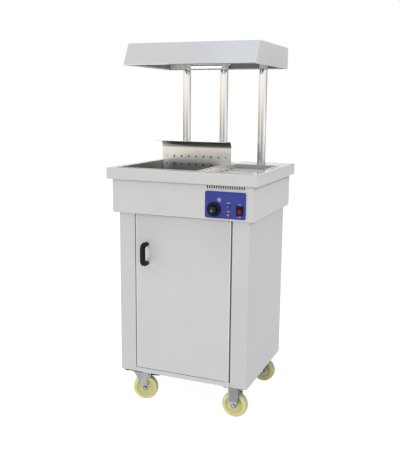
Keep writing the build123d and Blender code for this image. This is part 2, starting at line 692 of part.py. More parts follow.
def element_clamp(y):
    """Strap under the element, with feet up to the well."""
    half = (ELEMENT_RUNS - 1) / 2 * ELEMENT_PITCH + CLAMP_WIDTH
    under = element_z - ELEMENT_DIAMETER / 2 - FIT_GAP
    y_span = (y - CLAMP_WIDTH / 2, y + CLAMP_WIDTH / 2)
    strap = block((element_x - half, element_x + half), y_span, (under - SHEET, under))
    for side in (-1, 1):
        foot = sorted((element_x + side * half, element_x + side * (half - SHEET)))
        strap += block(foot, y_span, (under - SHEET, chip_floor - SHEET))
    return strap


def terminal_block():
    """Moulded block with a row of screw wells."""
    x_span = (housing_half - TERMINAL_INSET - TERMINAL_LENGTH, housing_half - TERMINAL_INSET)
    y_span = (housing_back - TERMINAL_INSET - TERMINAL_WIDTH, housing_back - TERMINAL_INSET)
    base = cabinet_top + SHEET
    terminal = block(x_span, y_span, (base, base + TERMINAL_HEIGHT))
    pitch = TERMINAL_LENGTH / TERMINAL_WAYS
    middle = (y_span[0] + y_span[1]) / 2
    bottom = base + TERMINAL_HEIGHT - TERMINAL_HOLE_DEPTH
    for i in range(TERMINAL_WAYS):
        x = x_span[0] + (i + 0.5) * pitch
        terminal -= bar("z", (x, middle, bottom), TERMINAL_HOLE_DEPTH + CUT, TERMINAL_HOLE_DIAMETER / 2)
    return terminal


clamp_step = (element_ys[1] - element_ys[0]) / 4
clamp_ys = (element_ys[0] + clamp_step, element_ys[1] - clamp_step)
save("heating_element", heating_element())
save("element_clamps", *[element_clamp(y) for y in clamp_ys])
save("terminal_block", terminal_block())


# Control panel: plate and fascia, thermostat with its knob, pilot lights, rocker switch
knob_x = panel_left + KNOB_INSET
knob_z = panel_bottom + KNOB_HEIGHT
pilot_x = panel_right - PILOT_INSET
pilot_zs = (panel_bottom + PILOT_LOW, panel_bottom + PILOT_LOW + PILOT_PITCH)
switch_x = panel_right - SWITCH_INSET
switch_z = panel_bottom + SWITCH_HEIGHT
switch_half = SWITCH_WIDTH / 2 - SWITCH_RIM - FIT_GAP
switch_tall = SWITCH_LENGTH / 2 - SWITCH_RIM - FIT_GAP
pocket_half = SWITCH_WIDTH / 2 - SWITCH_WALL
pocket_tall = SWITCH_LENGTH / 2 - SWITCH_WALL
pin_reach = pocket_half + SWITCH_WALL / 2
rocker_axis_y = fascia_face - SWITCH_RIM + SIDE_GAP + ROCKER_CREASE


def panel_layer(inset, corner, y_span):
    """Plate of the panel's outline, bored for the shaft, the lights and the switch."""
    upright = Plane.XZ.offset(-y_span[1])
    centre = Pos((panel_left + panel_right) / 2, (panel_bottom + panel_top) / 2)
    outline = centre * RectangleRounded(PANEL_WIDTH - 2 * inset, PANEL_HEIGHT - 2 * inset, corner)
    start, depth = y_span[0], y_span[1] - y_span[0]
    layer = extrude(upright * outline, depth, dir=(0, -1, 0))
    layer -= bore("y", (knob_x, start, knob_z), depth, SHAFT_DIAMETER / 2 + SHAFT_HOLE_GAP)
    layer -= [bore("y", (pilot_x, start, z), depth, PILOT_BODY_DIAMETER / 2 + FIT_GAP) for z in pilot_zs]
    return layer - block(
        grown((switch_x - switch_half, switch_x + switch_half), FIT_GAP),
        grown(y_span, CUT),
        grown((switch_z - switch_tall, switch_z + switch_tall), FIT_GAP),
    )


def thermostat():
    """Thermostat body behind the panel, bored for the shaft."""
    body = block(
        (knob_x - THERMOSTAT_WIDTH / 2, knob_x + THERMOSTAT_WIDTH / 2),
        (housing_front, housing_front + THERMOSTAT_DEPTH),
        (knob_z - THERMOSTAT_HEIGHT / 2, knob_z + THERMOSTAT_HEIGHT / 2),
    )
    return body - bore("y", (knob_x, housing_front, knob_z), SHAFT_REACH, SHAFT_DIAMETER / 2 + RUN_GAP)


def control_knob():
    """Skirted knob with a round grip, bored for the shaft."""
    back = fascia_face - SIDE_GAP
    skirt = bar("y", (knob_x, back - KNOB_SKIRT, knob_z), KNOB_SKIRT, KNOB_DIAMETER / 2)
    skirt = chamfer(skirt.edges().group_by(Axis.Y)[0], KNOB_CHAMFER)
    grip = bar("y", (knob_x, back - KNOB_DEPTH, knob_z), KNOB_DEPTH, GRIP_DIAMETER / 2)
    grip = fillet(grip.edges().group_by(Axis.Y)[0], GRIP_ROUNDING)
    knob = skirt + grip
    return knob - bar("y", (knob_x, knob_seat, knob_z), KNOB_BORE + CUT, SHAFT_DIAMETER / 2 + RUN_GAP)


def pilot_light(z):
    """Domed lens on a round body."""
    body = bar("y", (pilot_x, fascia_face, z), PILOT_BODY_DEPTH, PILOT_BODY_DIAMETER / 2)
    rim = bar("y", (pilot_x, fascia_face - PILOT_RIM, z), PILOT_RIM, PILOT_DIAMETER / 2)
    dome = Pos(pilot_x, fascia_face - PILOT_RIM, z) * Sphere(PILOT_DIAMETER / 2 - PILOT_STEP)
    dome &= bar("y", (pilot_x, fascia_face - PILOT_DIAMETER, z), PILOT_DIAMETER, PILOT_DIAMETER / 2)
    return body + rim + dome


def switch_housing():
    """Switch body with a rim on the panel and a pocket for the rocker."""
    x_rim = (switch_x - SWITCH_WIDTH / 2, switch_x + SWITCH_WIDTH / 2)
    z_rim = (switch_z - SWITCH_LENGTH / 2, switch_z + SWITCH_LENGTH / 2)
    body = block(x_rim, (fascia_face - SWITCH_RIM, fascia_face), z_rim)
    body += block(
        (switch_x - switch_half, switch_x + switch_half),
        (fascia_face, fascia_face + SWITCH_DEPTH),
        (switch_z - switch_tall, switch_z + switch_tall),
    )
    body -= block(
        (switch_x - pocket_half, switch_x + pocket_half),
        (fascia_face - SWITCH_RIM - CUT, rocker_axis_y + ROCKER_ROOM),
        (switch_z - pocket_tall, switch_z + pocket_tall),
    )
    pin_end = (switch_x - pin_reach, rocker_axis_y, switch_z)
    return body - bar("x", pin_end, 2 * pin_reach, ROCKER_PIN_DIAMETER / 2 + RUN_GAP)


def switch_rocker():
    """Rocker with two faces meeting at its middle, on a cross pin, tipped to its rest position."""
    half = pocket_half - SIDE_GAP
    tall = pocket_tall - 2 * SIDE_GAP
    edge = -ROCKER_CREASE - tall * math.tan(math.radians(ROCKER_TILT))
    side_view = Polyline(
        (-ROCKER_CREASE, 0),
        (edge, tall),
        (ROCKER_BELLY / 2, tall),
        (ROCKER_BELLY, 0),
        (ROCKER_BELLY / 2, -tall),
        (edge, -tall),
        close=True,
    )
    body = extrude(Plane.YZ.offset(-half) * make_face(side_view), 2 * half, dir=(1, 0, 0))
    body += bar("x", (FIT_GAP - pin_reach, 0, 0), 2 * (pin_reach - FIT_GAP), ROCKER_PIN_DIAMETER / 2)
    return Pos(switch_x, rocker_axis_y, switch_z) * Rot(ROCKER_TILT, 0, 0) * body


knob_seat = fascia_face - SIDE_GAP - KNOB_BORE
shaft_length = housing_front + SHAFT_REACH - knob_seat
save("control_plate", panel_layer(0, PANEL_CORNER, (panel_face, housing_front)))
save("control_fascia", panel_layer(PANEL_BORDER, PANEL_CORNER - PANEL_BORDER, (fascia_face, panel_face)))
save("thermostat", thermostat())
save("thermostat_shaft", bar("y", (knob_x, knob_seat, knob_z), shaft_length, SHAFT_DIAMETER / 2))
save("control_knob", control_knob())
save("orange_pilot_light", pilot_light(pilot_zs[0]))
save("green_pilot_light", pilot_light(pilot_zs[1]))
save("switch_housing", switch_housing())
save("switch_rocker", switch_rocker())


# Posts with their studs and nuts, and the channel in the hood that they carry
post_top = hood_bottom + CHANNEL_RISE


def post(x):
    """Plain tube standing on the worktop."""
    foot, length = (x, post_y, worktop_top), post_top - worktop_top
    return bar("z", foot, length, POST_DIAMETER / 2) - bore("z", foot, length, POST_DIAMETER / 2 - POST_WALL)


def post_stud(x, end, up):
    """Hollow stud on a plug in a tube's end; up is +1 for the upper end."""
    plug_low = end - PLUG_HEIGHT if up > 0 else end
    stud_low = end if up > 0 else end - STUD_LENGTH
    stud = bar("z", (x, post_y, plug_low), PLUG_HEIGHT, POST_DIAMETER / 2 - POST_WALL - RUN_GAP)
    stud += bar("z", (x, post_y, stud_low), STUD_LENGTH, STUD_DIAMETER / 2)
    low = min(plug_low, stud_low)
    return stud - bore("z", (x, post_y, low), PLUG_HEIGHT + STUD_LENGTH, STUD_BORE / 2)


def post_nut(x, seat):
    """Nut for a post's stud, standing on the height seat."""
    nut = hexagon("z", (x, post_y, seat), NUT_HEIGHT, NUT_WIDTH)
    return nut - bore("z", (x, post_y, seat), NUT_HEIGHT, STUD_DIAMETER / 2 + RUN_GAP)


def post_channel():
    """Upright channel in the hood: web on the posts, walls up to the hood's top."""
    half = post_pitch + CHANNEL_OVERHANG
    y_span = (post_y - CHANNEL_WIDTH / 2, post_y + CHANNEL_WIDTH / 2)
    z_span = (post_top, hood_top - SHEET)
    channel = block((-half, half), y_span, z_span)
    channel -= block(grown((-half, half), CUT), grown(y_span, -SHEET), (post_top + SHEET, hood_top))
    return channel - [bore("z", (x, post_y, post_top), SHEET, STUD_DIAMETER / 2 + FIT_GAP) for x in post_xs]


for name, x in zip(("left_post", "centre_post", "right_post"), post_xs):
    save(name, post(x))
lower_studs = [post_stud(x, worktop_top, -1) for x in post_xs]
upper_studs = [post_stud(x, post_top, 1) for x in post_xs]
save("post_studs", *lower_studs, *upper_studs)
lower_nuts = [post_nut(x, worktop_under - NUT_HEIGHT) for x in post_xs]
upper_nuts = [post_nut(x, post_top + SHEET) for x in post_xs]
save("post_nuts", *lower_nuts, *upper_nuts)
save("post_channel", post_channel())


# Hood: cover folded over the top, flat ends, lamp on brackets under a reflector
lamp_y = hood_front + LAMP_FRONT_INSET
lamp_z = hood_bottom + LAMP_RISE
bracket_x = LAMP_LENGTH / 2 + HOLDER_LENGTH


def hood_cover():
    """Rear wall, top and sloping front in one folded sheet, with lips along the lower edges."""
    half = HOOD_WIDTH / 2 - SHEET
    points = [
        (hood_front + HOOD_LIP, hood_bottom),
        (hood_front, hood_bottom),
        (hood_front + HOOD_SLOPE, hood_top),
        (hood_back, hood_top),
        (hood_back, hood_bottom),
        (hood_back - HOOD_LIP, hood_bottom),
    ]
    return folded(points[::-1], BEND, SHEET, Plane.YZ.offset(-half), 2 * half)


def hood_end(side):
    """Flat end plate of the hood's outline; side is -1 left, +1 right."""
    outline = Polyline(
        (hood_front, hood_bottom),
        (hood_front + HOOD_SLOPE, hood_top),
        (hood_back, hood_top),
        (hood_back, hood_bottom),
        close=True,
    )
    inner = side * (HOOD_WIDTH / 2 - SHEET)
    return extrude(Plane.YZ.offset(inner) * make_face(outline), SHEET, dir=(side, 0, 0))


def lamp_bracket(side):
    """Strap from the hood's top down to a lamp holder."""
    y_span = (lamp_y - HOLDER_WIDTH / 2, lamp_y + HOLDER_WIDTH / 2)
    top = hood_top - SHEET
    strap_x = sorted((side * bracket_x, side * (bracket_x + SHEET)))
    foot_x = sorted((side * bracket_x, side * (bracket_x + BRACKET_FOOT)))
    strap = block(strap_x, y_span, (lamp_z - HOLDER_HEIGHT / 2, top))
    return strap + block(foot_x, y_span, (top - SHEET, top))


def lamp_holder(side):
    """Ceramic holder on a strap, with a socket for the lamp's end."""
    x_span = sorted((side * bracket_x, side * (bracket_x - HOLDER_LENGTH)))
    y_span = (lamp_y - HOLDER_WIDTH / 2, lamp_y + HOLDER_WIDTH / 2)
    holder = block(x_span, y_span, (lamp_z - HOLDER_HEIGHT / 2, lamp_z + HOLDER_HEIGHT / 2))
    socket_x = min(side * lamp_reach, side * (LAMP_LENGTH / 2 - CUT))
    socket_radius = LAMP_CAP_DIAMETER / 2 + RUN_GAP
    return holder - bar("x", (socket_x, lamp_y, lamp_z), LAMP_CAP_LENGTH + CUT, socket_radius)


def heat_lamp():
    """Tube with narrower caps that sit in the holders."""
    lamp = bar("x", (-LAMP_LENGTH / 2, lamp_y, lamp_z), LAMP_LENGTH, LAMP_DIAMETER / 2)
    lamp = fillet(lamp.edges().filter_by(GeomType.CIRCLE), LAMP_ROUNDING)
    return lamp + bar("x", (-lamp_reach, lamp_y, lamp_z), 2 * lamp_reach, LAMP_CAP_DIAMETER / 2)


def reflector():
    """Trough over the lamp, between the straps."""
    low = hood_bottom + REFLECTOR_RISE
    high = low + REFLECTOR_HEIGHT
    points = [
        (lamp_y - REFLECTOR_WIDTH / 2, low),
        (lamp_y - REFLECTOR_TOP / 2, high),
        (lamp_y + REFLECTOR_TOP / 2, high),
        (lamp_y + REFLECTOR_WIDTH / 2, low),
    ]
    return folded(points, BEND, SHEET, Plane.YZ.offset(-bracket_x), 2 * bracket_x)


lamp_reach = LAMP_LENGTH / 2 + LAMP_CAP_LENGTH
save("hood_cover", hood_cover())
save("hood_ends", hood_end(-1), hood_end(1))
save("lamp_brackets", lamp_bracket(-1), lamp_bracket(1))
save("lamp_holders", lamp_holder(-1), lamp_holder(1))
save("heat_lamp", heat_lamp())
save("lamp_reflector", reflector())


# Castors, modelled with the swivel axis at the origin and the wheel along +X, then placed
def wheel():
    """Solid wheel with a recessed web on each side, its axle along Y."""
    body = Cylinder(wheel_radius, WHEEL_WIDTH)
    body = fillet(body.edges().filter_by(GeomType.CIRCLE), WHEEL_EDGE)
    recess = (WHEEL_WIDTH - WHEEL_WEB) / 2
    for side in (-1, 1):
        ring = Cylinder(wheel_radius - WHEEL_RIM, recess) - Cylinder(WHEEL_HUB_DIAMETER / 2, recess)
        body -= Pos(0, 0, side * (WHEEL_WIDTH - recess) / 2) * ring
    body += Cylinder(WHEEL_HUB_DIAMETER / 2, WHEEL_WIDTH + 2 * HUB_OVERHANG)
    body -= Cylinder(AXLE_DIAMETER / 2 + RUN_GAP, WHEEL_WIDTH + 4 * HUB_OVERHANG)
    return Pos(0, 0, wheel_radius) * Rot(90, 0, 0) * body


def axle():
    """Bolt through both fork legs, with a hexagon at each end."""
    bolt = bar("y", (0, -fork_outside, wheel_radius), 2 * fork_outside, AXLE_DIAMETER / 2)
    for y in (-fork_outside - AXLE_HEAD_HEIGHT, fork_outside):
        bolt += hexagon("y", (0, y, wheel_radius), AXLE_HEAD_HEIGHT, AXLE_HEAD_WIDTH)
    return bolt


def leg_blank(outline, foot_x, foot_radius):
    """Flat shape of a fork's leg in the XZ plane, with a rounded foot at the axle."""
    return make_face(Polyline(*outline, close=True)) + Pos(foot_x, wheel_radius) * Circle(foot_radius)


def both_sides(shape, inside, thickness):
    """Sheet of a shape in the XZ plane, once on either side of the wheel."""
    near = extrude(Plane.XZ.offset(inside) * shape, thickness, dir=(0, -1, 0))
    return near + mirror(near, about=Plane.XZ)


def legs(blank, foot_x):
    """Both legs of a fork, bored for the axle."""
    axle_hole = Pos(foot_x, wheel_radius) * Circle(AXLE_DIAMETER / 2 + RUN_GAP)
    return both_sides(blank - axle_hole, fork_inside, FORK_SHEET)


def mounting_plate():
    """Rectangular plate with four bolt holes."""
    plate = rounded_slab(
        (-PLATE_LENGTH / 2, PLATE_LENGTH / 2),
        (-PLATE_WIDTH / 2, PLATE_WIDTH / 2),
        (plate_bottom, cabinet_bottom),
        PLATE_THICKNESS,
    )
    for x, y in plate_holes((0, 0)):
        plate -= bore("z", (x, y, plate_bottom), PLATE_THICKNESS, BOLT_DIAMETER / 2 + FIT_GAP)
    return plate


def swivel_plate():
    """Mounting plate with the bearing race and the riveted king pin."""
    pin_end = crown_top - CROWN_THICKNESS - SIDE_GAP - KING_PIN_HEAD
    plate = mounting_plate()
    plate += bar("z", (0, 0, crown_top + SIDE_GAP), RACE_HEIGHT, RACE_DIAMETER / 2)
    plate += bar("z", (0, 0, pin_end), plate_bottom - pin_end, KING_PIN_DIAMETER / 2)
    return plate + bar("z", (0, 0, pin_end), KING_PIN_HEAD, KING_PIN_HEAD_DIAMETER / 2)


def swivel_fork():
    """Crown on the king pin with two legs that lean back to the axle."""
    tail = pedal_x + PEDAL_EAR
    under = crown_top - CROWN_THICKNESS
    outline = [
        (-CROWN_LEAD, crown_top),
        (tail, crown_top),
        (tail, pedal_z - PEDAL_EAR),
        (TRAIL + FOOT_RADIUS, pedal_z - PEDAL_EAR_DROP),
        (TRAIL + FOOT_RADIUS, wheel_radius),
        (TRAIL - FOOT_RADIUS, wheel_radius),
    ]
    fork = legs(leg_blank(outline, TRAIL, FOOT_RADIUS), TRAIL)
    fork += block((-CROWN_LEAD, tail), (-fork_outside, fork_outside), (under, crown_top))
    fork -= bore("z", (0, 0, under), CROWN_THICKNESS, KING_PIN_DIAMETER / 2 + RUN_GAP)
    ear = (pedal_x, -fork_outside, pedal_z)
    return fork - bore("y", ear, 2 * fork_outside, PEDAL_PIN_DIAMETER / 2 + RUN_GAP)


def brake_pedal():
    """Foot pedal behind the wheel: hub on a cross pin, flat tread plate and a brake lobe."""
    half = fork_inside - SIDE_GAP
    hub_radius = PEDAL_HUB_DIAMETER / 2
    rise = pedal_z - wheel_radius
    lobe_angle = math.degrees(math.atan2(-rise, -PEDAL_AHEAD)) + PEDAL_TRAVEL * 1.5
    lobe_length = math.hypot(rise, PEDAL_AHEAD) - wheel_radius - BRAKE_GAP
    hub = bar("y", (0, -half, 0), 2 * half, hub_radius)
    hub += bar("y", (0, -fork_outside, 0), 2 * fork_outside, PEDAL_PIN_DIAMETER / 2)
    tread = block((0, PEDAL_LENGTH), (-half, half), (-PEDAL_THICKNESS / 2, PEDAL_THICKNESS / 2))
    tread = fillet(tread.edges().filter_by(Axis.Z).group_by(Axis.X)[-1], FOOT_RADIUS)
    lobe = block((0, lobe_length), (-half, half), (-hub_radius / 2, hub_radius / 2))
    pedal = hub + tread + Rot(0, -lobe_angle, 0) * lobe
    return Pos(pedal_x, 0, pedal_z) * pedal


def rigid_fork():
    """Mounting plate with two straight legs in one pressing, their edges turned out."""
    half = RIGID_LEG_WIDTH / 2
    outline = [
        (-half, plate_bottom + PLATE_THICKNESS / 2),
        (half, plate_bottom + PLATE_THICKNESS / 2),
        (half, wheel_radius + RIGID_LEG_TAPER),
        (RIGID_FOOT_RADIUS, wheel_radius),
        (-RIGID_FOOT_RADIUS, wheel_radius),
        (-half, wheel_radius + RIGID_LEG_TAPER),
    ]
    blank = leg_blank(outline, 0, RIGID_FOOT_RADIUS)
    rim = blank - offset(blank, -FORK_SHEET)
    return mounting_plate() + legs(blank, 0) + both_sides(rim, fork_outside, RIGID_RIM)


def plate_bolt(x, y):
    """Bolt from under a castor plate, with its nut on the cabinet's floor."""
    grip = PLATE_THICKNESS + SHEET
    bolt = hexagon("z", (x, y, plate_bottom - BOLT_HEAD_HEIGHT), BOLT_HEAD_HEIGHT, BOLT_HEAD_WIDTH)
    bolt += bar("z", (x, y, plate_bottom), grip + BOLT_HEAD_HEIGHT + BOLT_TIP, BOLT_DIAMETER / 2)
    return bolt + hexagon("z", (x, y, plate_bottom + grip), BOLT_HEAD_HEIGHT, BOLT_HEAD_WIDTH)


pedal_x = TRAIL + PEDAL_AHEAD
pedal_z = WHEEL_DIAMETER + PEDAL_OVER
swivel_plates = []
for name, angle in (("front_left", SWIVEL_ANGLE), ("rear_left", REAR_SWIVEL_ANGLE)):
    place = Pos(*castors[name], 0)
    turned = place * Rot(0, 0, angle)
    swivel_plates.append(place * swivel_plate())
    save(f"{name}_castor_fork", turned * swivel_fork())
    save(f"{name}_wheel", turned * Pos(TRAIL, 0, 0) * wheel())
    save(f"{name}_axle", turned * Pos(TRAIL, 0, 0) * axle())
    save(f"{name}_brake_pedal", turned * brake_pedal())
save("swivel_castor_plates", *swivel_plates)
rigid_places = [Pos(*castors[name], 0) for name in ("front_right", "rear_right")]
save("rigid_castor_forks", *[place * rigid_fork() for place in rigid_places])
save("rigid_castor_axles", *[place * axle() for place in rigid_places])
save("front_right_wheel", rigid_places[0] * wheel())
save("rear_right_wheel", rigid_places[1] * wheel())
save("castor_bolts", *[plate_bolt(x, y) for centre in castors.values() for x, y in plate_holes(centre)])
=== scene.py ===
import json
import math
import bmesh
import bpy
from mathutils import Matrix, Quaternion, Vector


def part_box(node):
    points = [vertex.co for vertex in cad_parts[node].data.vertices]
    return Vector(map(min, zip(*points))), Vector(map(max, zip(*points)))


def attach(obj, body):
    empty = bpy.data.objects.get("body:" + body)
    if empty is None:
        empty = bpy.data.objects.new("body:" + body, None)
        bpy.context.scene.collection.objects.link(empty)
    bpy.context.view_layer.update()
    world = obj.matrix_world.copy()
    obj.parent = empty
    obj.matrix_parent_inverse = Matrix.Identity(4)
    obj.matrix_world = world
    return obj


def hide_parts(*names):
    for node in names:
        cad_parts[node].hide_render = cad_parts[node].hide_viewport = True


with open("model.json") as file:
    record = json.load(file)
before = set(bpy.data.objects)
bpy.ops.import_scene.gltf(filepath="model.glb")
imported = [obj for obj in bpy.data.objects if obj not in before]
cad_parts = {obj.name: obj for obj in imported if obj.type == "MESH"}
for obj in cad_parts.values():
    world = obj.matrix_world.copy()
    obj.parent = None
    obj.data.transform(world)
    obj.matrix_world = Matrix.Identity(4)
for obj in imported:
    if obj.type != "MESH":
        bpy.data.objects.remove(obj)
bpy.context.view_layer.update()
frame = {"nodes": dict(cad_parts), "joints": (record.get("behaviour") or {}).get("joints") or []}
nodes = frame["nodes"]
joints = {joint["name"]: joint for joint in frame["joints"]}

# Studio: a white paper floor that runs into a white surround, which lights the unit softly, most from
# overhead and least from the right, and a weak soft box in front. The floor keeps a faint shadow.
SURROUND_LIGHT = 0.60
OVERHEAD_LIGHT = 0.62
RIGHT_DIMMING = 0.42
FLOOR_SIZE = 80
FLOOR_COLOUR = (0.90, 0.90, 0.90, 1)
FLOOR_SHADE = (0.16, 0.16, 0.16, 1)
FLOOR_GLOW = 0.92
SOFT_BOX_PLACE = Vector((-1.2, -5.0, 2.6))
SOFT_BOX_TARGET = Vector((0, 0, 0.8))
SOFT_BOX_SIZE = 4.0
SOFT_BOX_POWER = 20


class Signal:
    """A socket in a node tree; sums, products and powers of signals add Math nodes."""

    def __init__(self, tree, socket=None):
        self.tree = tree
        self.socket = socket

    def node(self, kind, settings=None, inputs=None, output=0):
        """Adds one node: its settings or ramp stops first, then the values or links of its sockets."""
        made = self.tree.nodes.new(kind)
        for name, value in (settings or {}).items():
            if name == "stops":
                stops = made.color_ramp.elements
                while len(stops) < len(value):
                    stops.new(0.5)
                for stop, (position, colour) in zip(stops, value):
                    stop.position = position
                    stop.color = (*colour, 1)
            else:
                setattr(made, name, value)
        for name, value in (inputs or {}).items():
            if isinstance(value, Signal):
                self.tree.links.new(value.socket, made.inputs[name])
            else:
                made.inputs[name].default_value = value
        return Signal(self.tree, made.outputs[output])

    def feed(self, node, name):
        """Links this signal to a socket of a node."""
        self.tree.links.new(self.socket, node.inputs[name])

    def maths(self, operation, left, right):
        """Adds one Math node."""
        return self.node("ShaderNodeMath", {"operation": operation}, {0: left, 1: right})

    def mix(self, low, high):
        """Colour between low and high, this signal being the share of high."""
        low, high = [end if isinstance(end, Signal) else (*end, 1) for end in (low, high)]
        return self.node("ShaderNodeMix", {"data_type": "RGBA"}, {0: self, 6: low, 7: high}, 2)

    def rise(self, low, high):
        """Zero below low and one above high, with a soft step between; high may be the lower."""
        ends = {"Value": self, "From Min": low, "From Max": high}
        return self.node("ShaderNodeMapRange", {"interpolation_type": "SMOOTHSTEP"}, ends)

    def parts(self):
        """The x, y and z of a vector signal."""
        made = self.node("ShaderNodeSeparateXYZ", inputs={"Vector": self}).socket.node
        return [Signal(self.tree, socket) for socket in made.outputs]

    def spot(self):
        """The x, y and z of a point on the piece."""
        return self.node("ShaderNodeTexCoord", output="Object").parts()

    def __add__(self, other):
        return self.maths("ADD", self, other)

    def __sub__(self, other):
        return self.maths("SUBTRACT", self, other)

    def __rsub__(self, other):
        return self.maths("SUBTRACT", other, self)

    def __mul__(self, other):
        return self.maths("MULTIPLY", self, other)

    def __pow__(self, other):
        return self.maths("POWER", self, other)

    def __abs__(self):
        return self.maths("ABSOLUTE", self, 0.0)

    __radd__ = __add__
    __rmul__ = __mul__


def bare_material(piece, name):
    """New material without a shader on a piece; returns a blank signal and the material's output."""
    material = bpy.data.materials.new(name)
    material.use_nodes = True
    material.node_tree.nodes.clear()
    piece.data.materials.append(material)
    return Signal(material.node_tree), material.node_tree.nodes.new("ShaderNodeOutputMaterial")


def seen_directly(start):
    """One for rays from the eye, from a mirror or through glass, zero for those that only light."""
    seen = [start.node("ShaderNodeLightPath", output=name)
            for name in ("Is Camera Ray", "Is Glossy Ray", "Is Transmission Ray")]
    return start.maths("MINIMUM", seen[0] + seen[1] + seen[2], 1.0)


def select_none():
    """Clears the selection, so that operators act only on the next piece."""
    bpy.ops.object.select_all(action="DESELECT")


scene = bpy.context.scene
scene.view_settings.view_transform = "Standard"
scene.world = bpy.data.worlds.new("studio_surround")
scene.world.use_nodes = True
background = scene.world.node_tree.nodes["Background"]
background.inputs["Color"].default_value = (1, 1, 1, 1)
start = Signal(scene.world.node_tree)
ray = start.node("ShaderNodeTexCoord", output="Generated").parts()
upward = start.maths("MAXIMUM", ray[2], 0.0)
light = SURROUND_LIGHT + OVERHEAD_LIGHT * upward - RIGHT_DIMMING * ray[0]
seen = seen_directly(start)
(light * (1 - seen) + seen).feed(background, "Strength")

select_none()
bpy.ops.mesh.primitive_plane_add(size=FLOOR_SIZE)
floor = bpy.context.object
floor.name = "studio_floor"
start, output = bare_material(floor, "floor_paper")
matt = start.node("ShaderNodeBsdfDiffuse", inputs={"Color": FLOOR_COLOUR})
shade = start.node("ShaderNodeBsdfDiffuse", inputs={"Color": FLOOR_SHADE})
glow = start.node("ShaderNodeEmission", inputs={"Strength": FLOOR_GLOW})
pale = start.node("ShaderNodeAddShader", inputs={0: shade, 1: glow})
both = start.node("ShaderNodeMixShader", inputs={0: seen_directly(start), 1: matt, 2: pale})
both.feed(output, "Surface")

lamp = bpy.data.lights.new("front_soft_box", "AREA")
lamp.shape = "SQUARE"
lamp.size = SOFT_BOX_SIZE
lamp.energy = SOFT_BOX_POWER
soft_box = bpy.data.objects.new("front_soft_box", lamp)
soft_box.location = SOFT_BOX_PLACE
soft_box.rotation_euler = (SOFT_BOX_TARGET - SOFT_BOX_PLACE).to_track_quat("-Z", "Y").to_euler()
scene.collection.objects.link(soft_box)

# Reflector boards: a ring round the unit that shows only in metal and gloss. From left to right it goes
# from grey over cream to grey and white, darker near the floor; it is plain white behind the unit.
# Each board has its angle from the front, in degrees, and its colours near the floor and higher up.
BOARDS = (
    (-152, (1.00, 1.00, 1.00), (1.00, 1.00, 1.00)),
    (-140, (0.36, 0.37, 0.37), (0.72, 0.72, 0.72)),
    (-80, (0.40, 0.40, 0.39), (1.00, 1.00, 0.98)),
    (-48, (0.74, 0.71, 0.62), (1.05, 1.00, 0.90)),
    (-18, (1.00, 0.93, 0.80), (1.16, 1.07, 0.92)),
    (8, (0.50, 0.47, 0.42), (1.10, 1.03, 0.90)),
    (35, (0.52, 0.50, 0.49), (1.04, 0.99, 0.92)),
    (60, (0.84, 0.84, 0.84), (1.03, 1.03, 0.99)),
    (88, (1.25, 1.25, 1.25), (0.95, 0.95, 0.95)),
    (120, (0.84, 0.84, 0.85), (0.52, 0.52, 0.53)),
    (150, (0.50, 0.50, 0.51), (0.50, 0.50, 0.51)),
    (172, (0.60, 0.60, 0.61), (0.60, 0.60, 0.61)),
    (178, (1.00, 1.00, 1.00), (1.00, 1.00, 1.00)),
)
BOARD_FADE = (0.98, 1.50)
RING_SIDES = 96
RING_RADIUS = 3.2
RING_LOW = 0.55
RING_HIGH = 1.80

select_none()
bpy.ops.mesh.primitive_cylinder_add(
    vertices=RING_SIDES, radius=RING_RADIUS, depth=RING_HIGH - RING_LOW, end_fill_type="NOTHING",
    location=(0, 0, (RING_LOW + RING_HIGH) / 2))
ring = bpy.context.object
ring.name = "reflector_ring"
bpy.ops.object.transform_apply(location=True)
for kind in ("camera", "diffuse", "shadow", "transmission", "volume_scatter"):
    setattr(ring, "visible_" + kind, False)
start, output = bare_material(ring, "reflector_boards")
x, y, height = start.spot()
around = start.maths("ARCTAN2", x, 0.0 - y) * (0.5 / math.pi) + 0.5
rows = []
for row in (1, 2):
    stops = [(board[0] / 360 + 0.5, board[row]) for board in BOARDS]
    rows.append(start.node("ShaderNodeValToRGB", {"stops": stops}, {"Fac": around}))
lit = start.node("ShaderNodeEmission", inputs={"Color": height.rise(*BOARD_FADE).mix(*rows)})
lit.feed(output, "Surface")

# Camera: it stands in front and to the right, a little above the worktop, as the photograph's did,
# and leans by half a degree.
CAMERA_TARGET = Vector((-0.01955, 0, 0.75219))
CAMERA_DISTANCE = 2.95842
CAMERA_AZIMUTH = math.radians(22.31)
CAMERA_ELEVATION = math.radians(10.75)
CAMERA_ROLL = math.radians(0.5)
CAMERA_LENS = 52.37

away = Vector((
    math.sin(CAMERA_AZIMUTH) * math.cos(CAMERA_ELEVATION),
    -math.cos(CAMERA_AZIMUTH) * math.cos(CAMERA_ELEVATION),
    math.sin(CAMERA_ELEVATION),
))
camera = bpy.data.objects.new("camera", bpy.data.cameras.new("camera"))
camera.data.lens = CAMERA_LENS
camera.location = CAMERA_TARGET + CAMERA_DISTANCE * away
aim = (-away).to_track_quat("-Z", "Y") @ Quaternion((0, 0, 1), CAMERA_ROLL)
camera.rotation_euler = aim.to_euler()
scene.collection.objects.link(camera)
scene.camera = camera

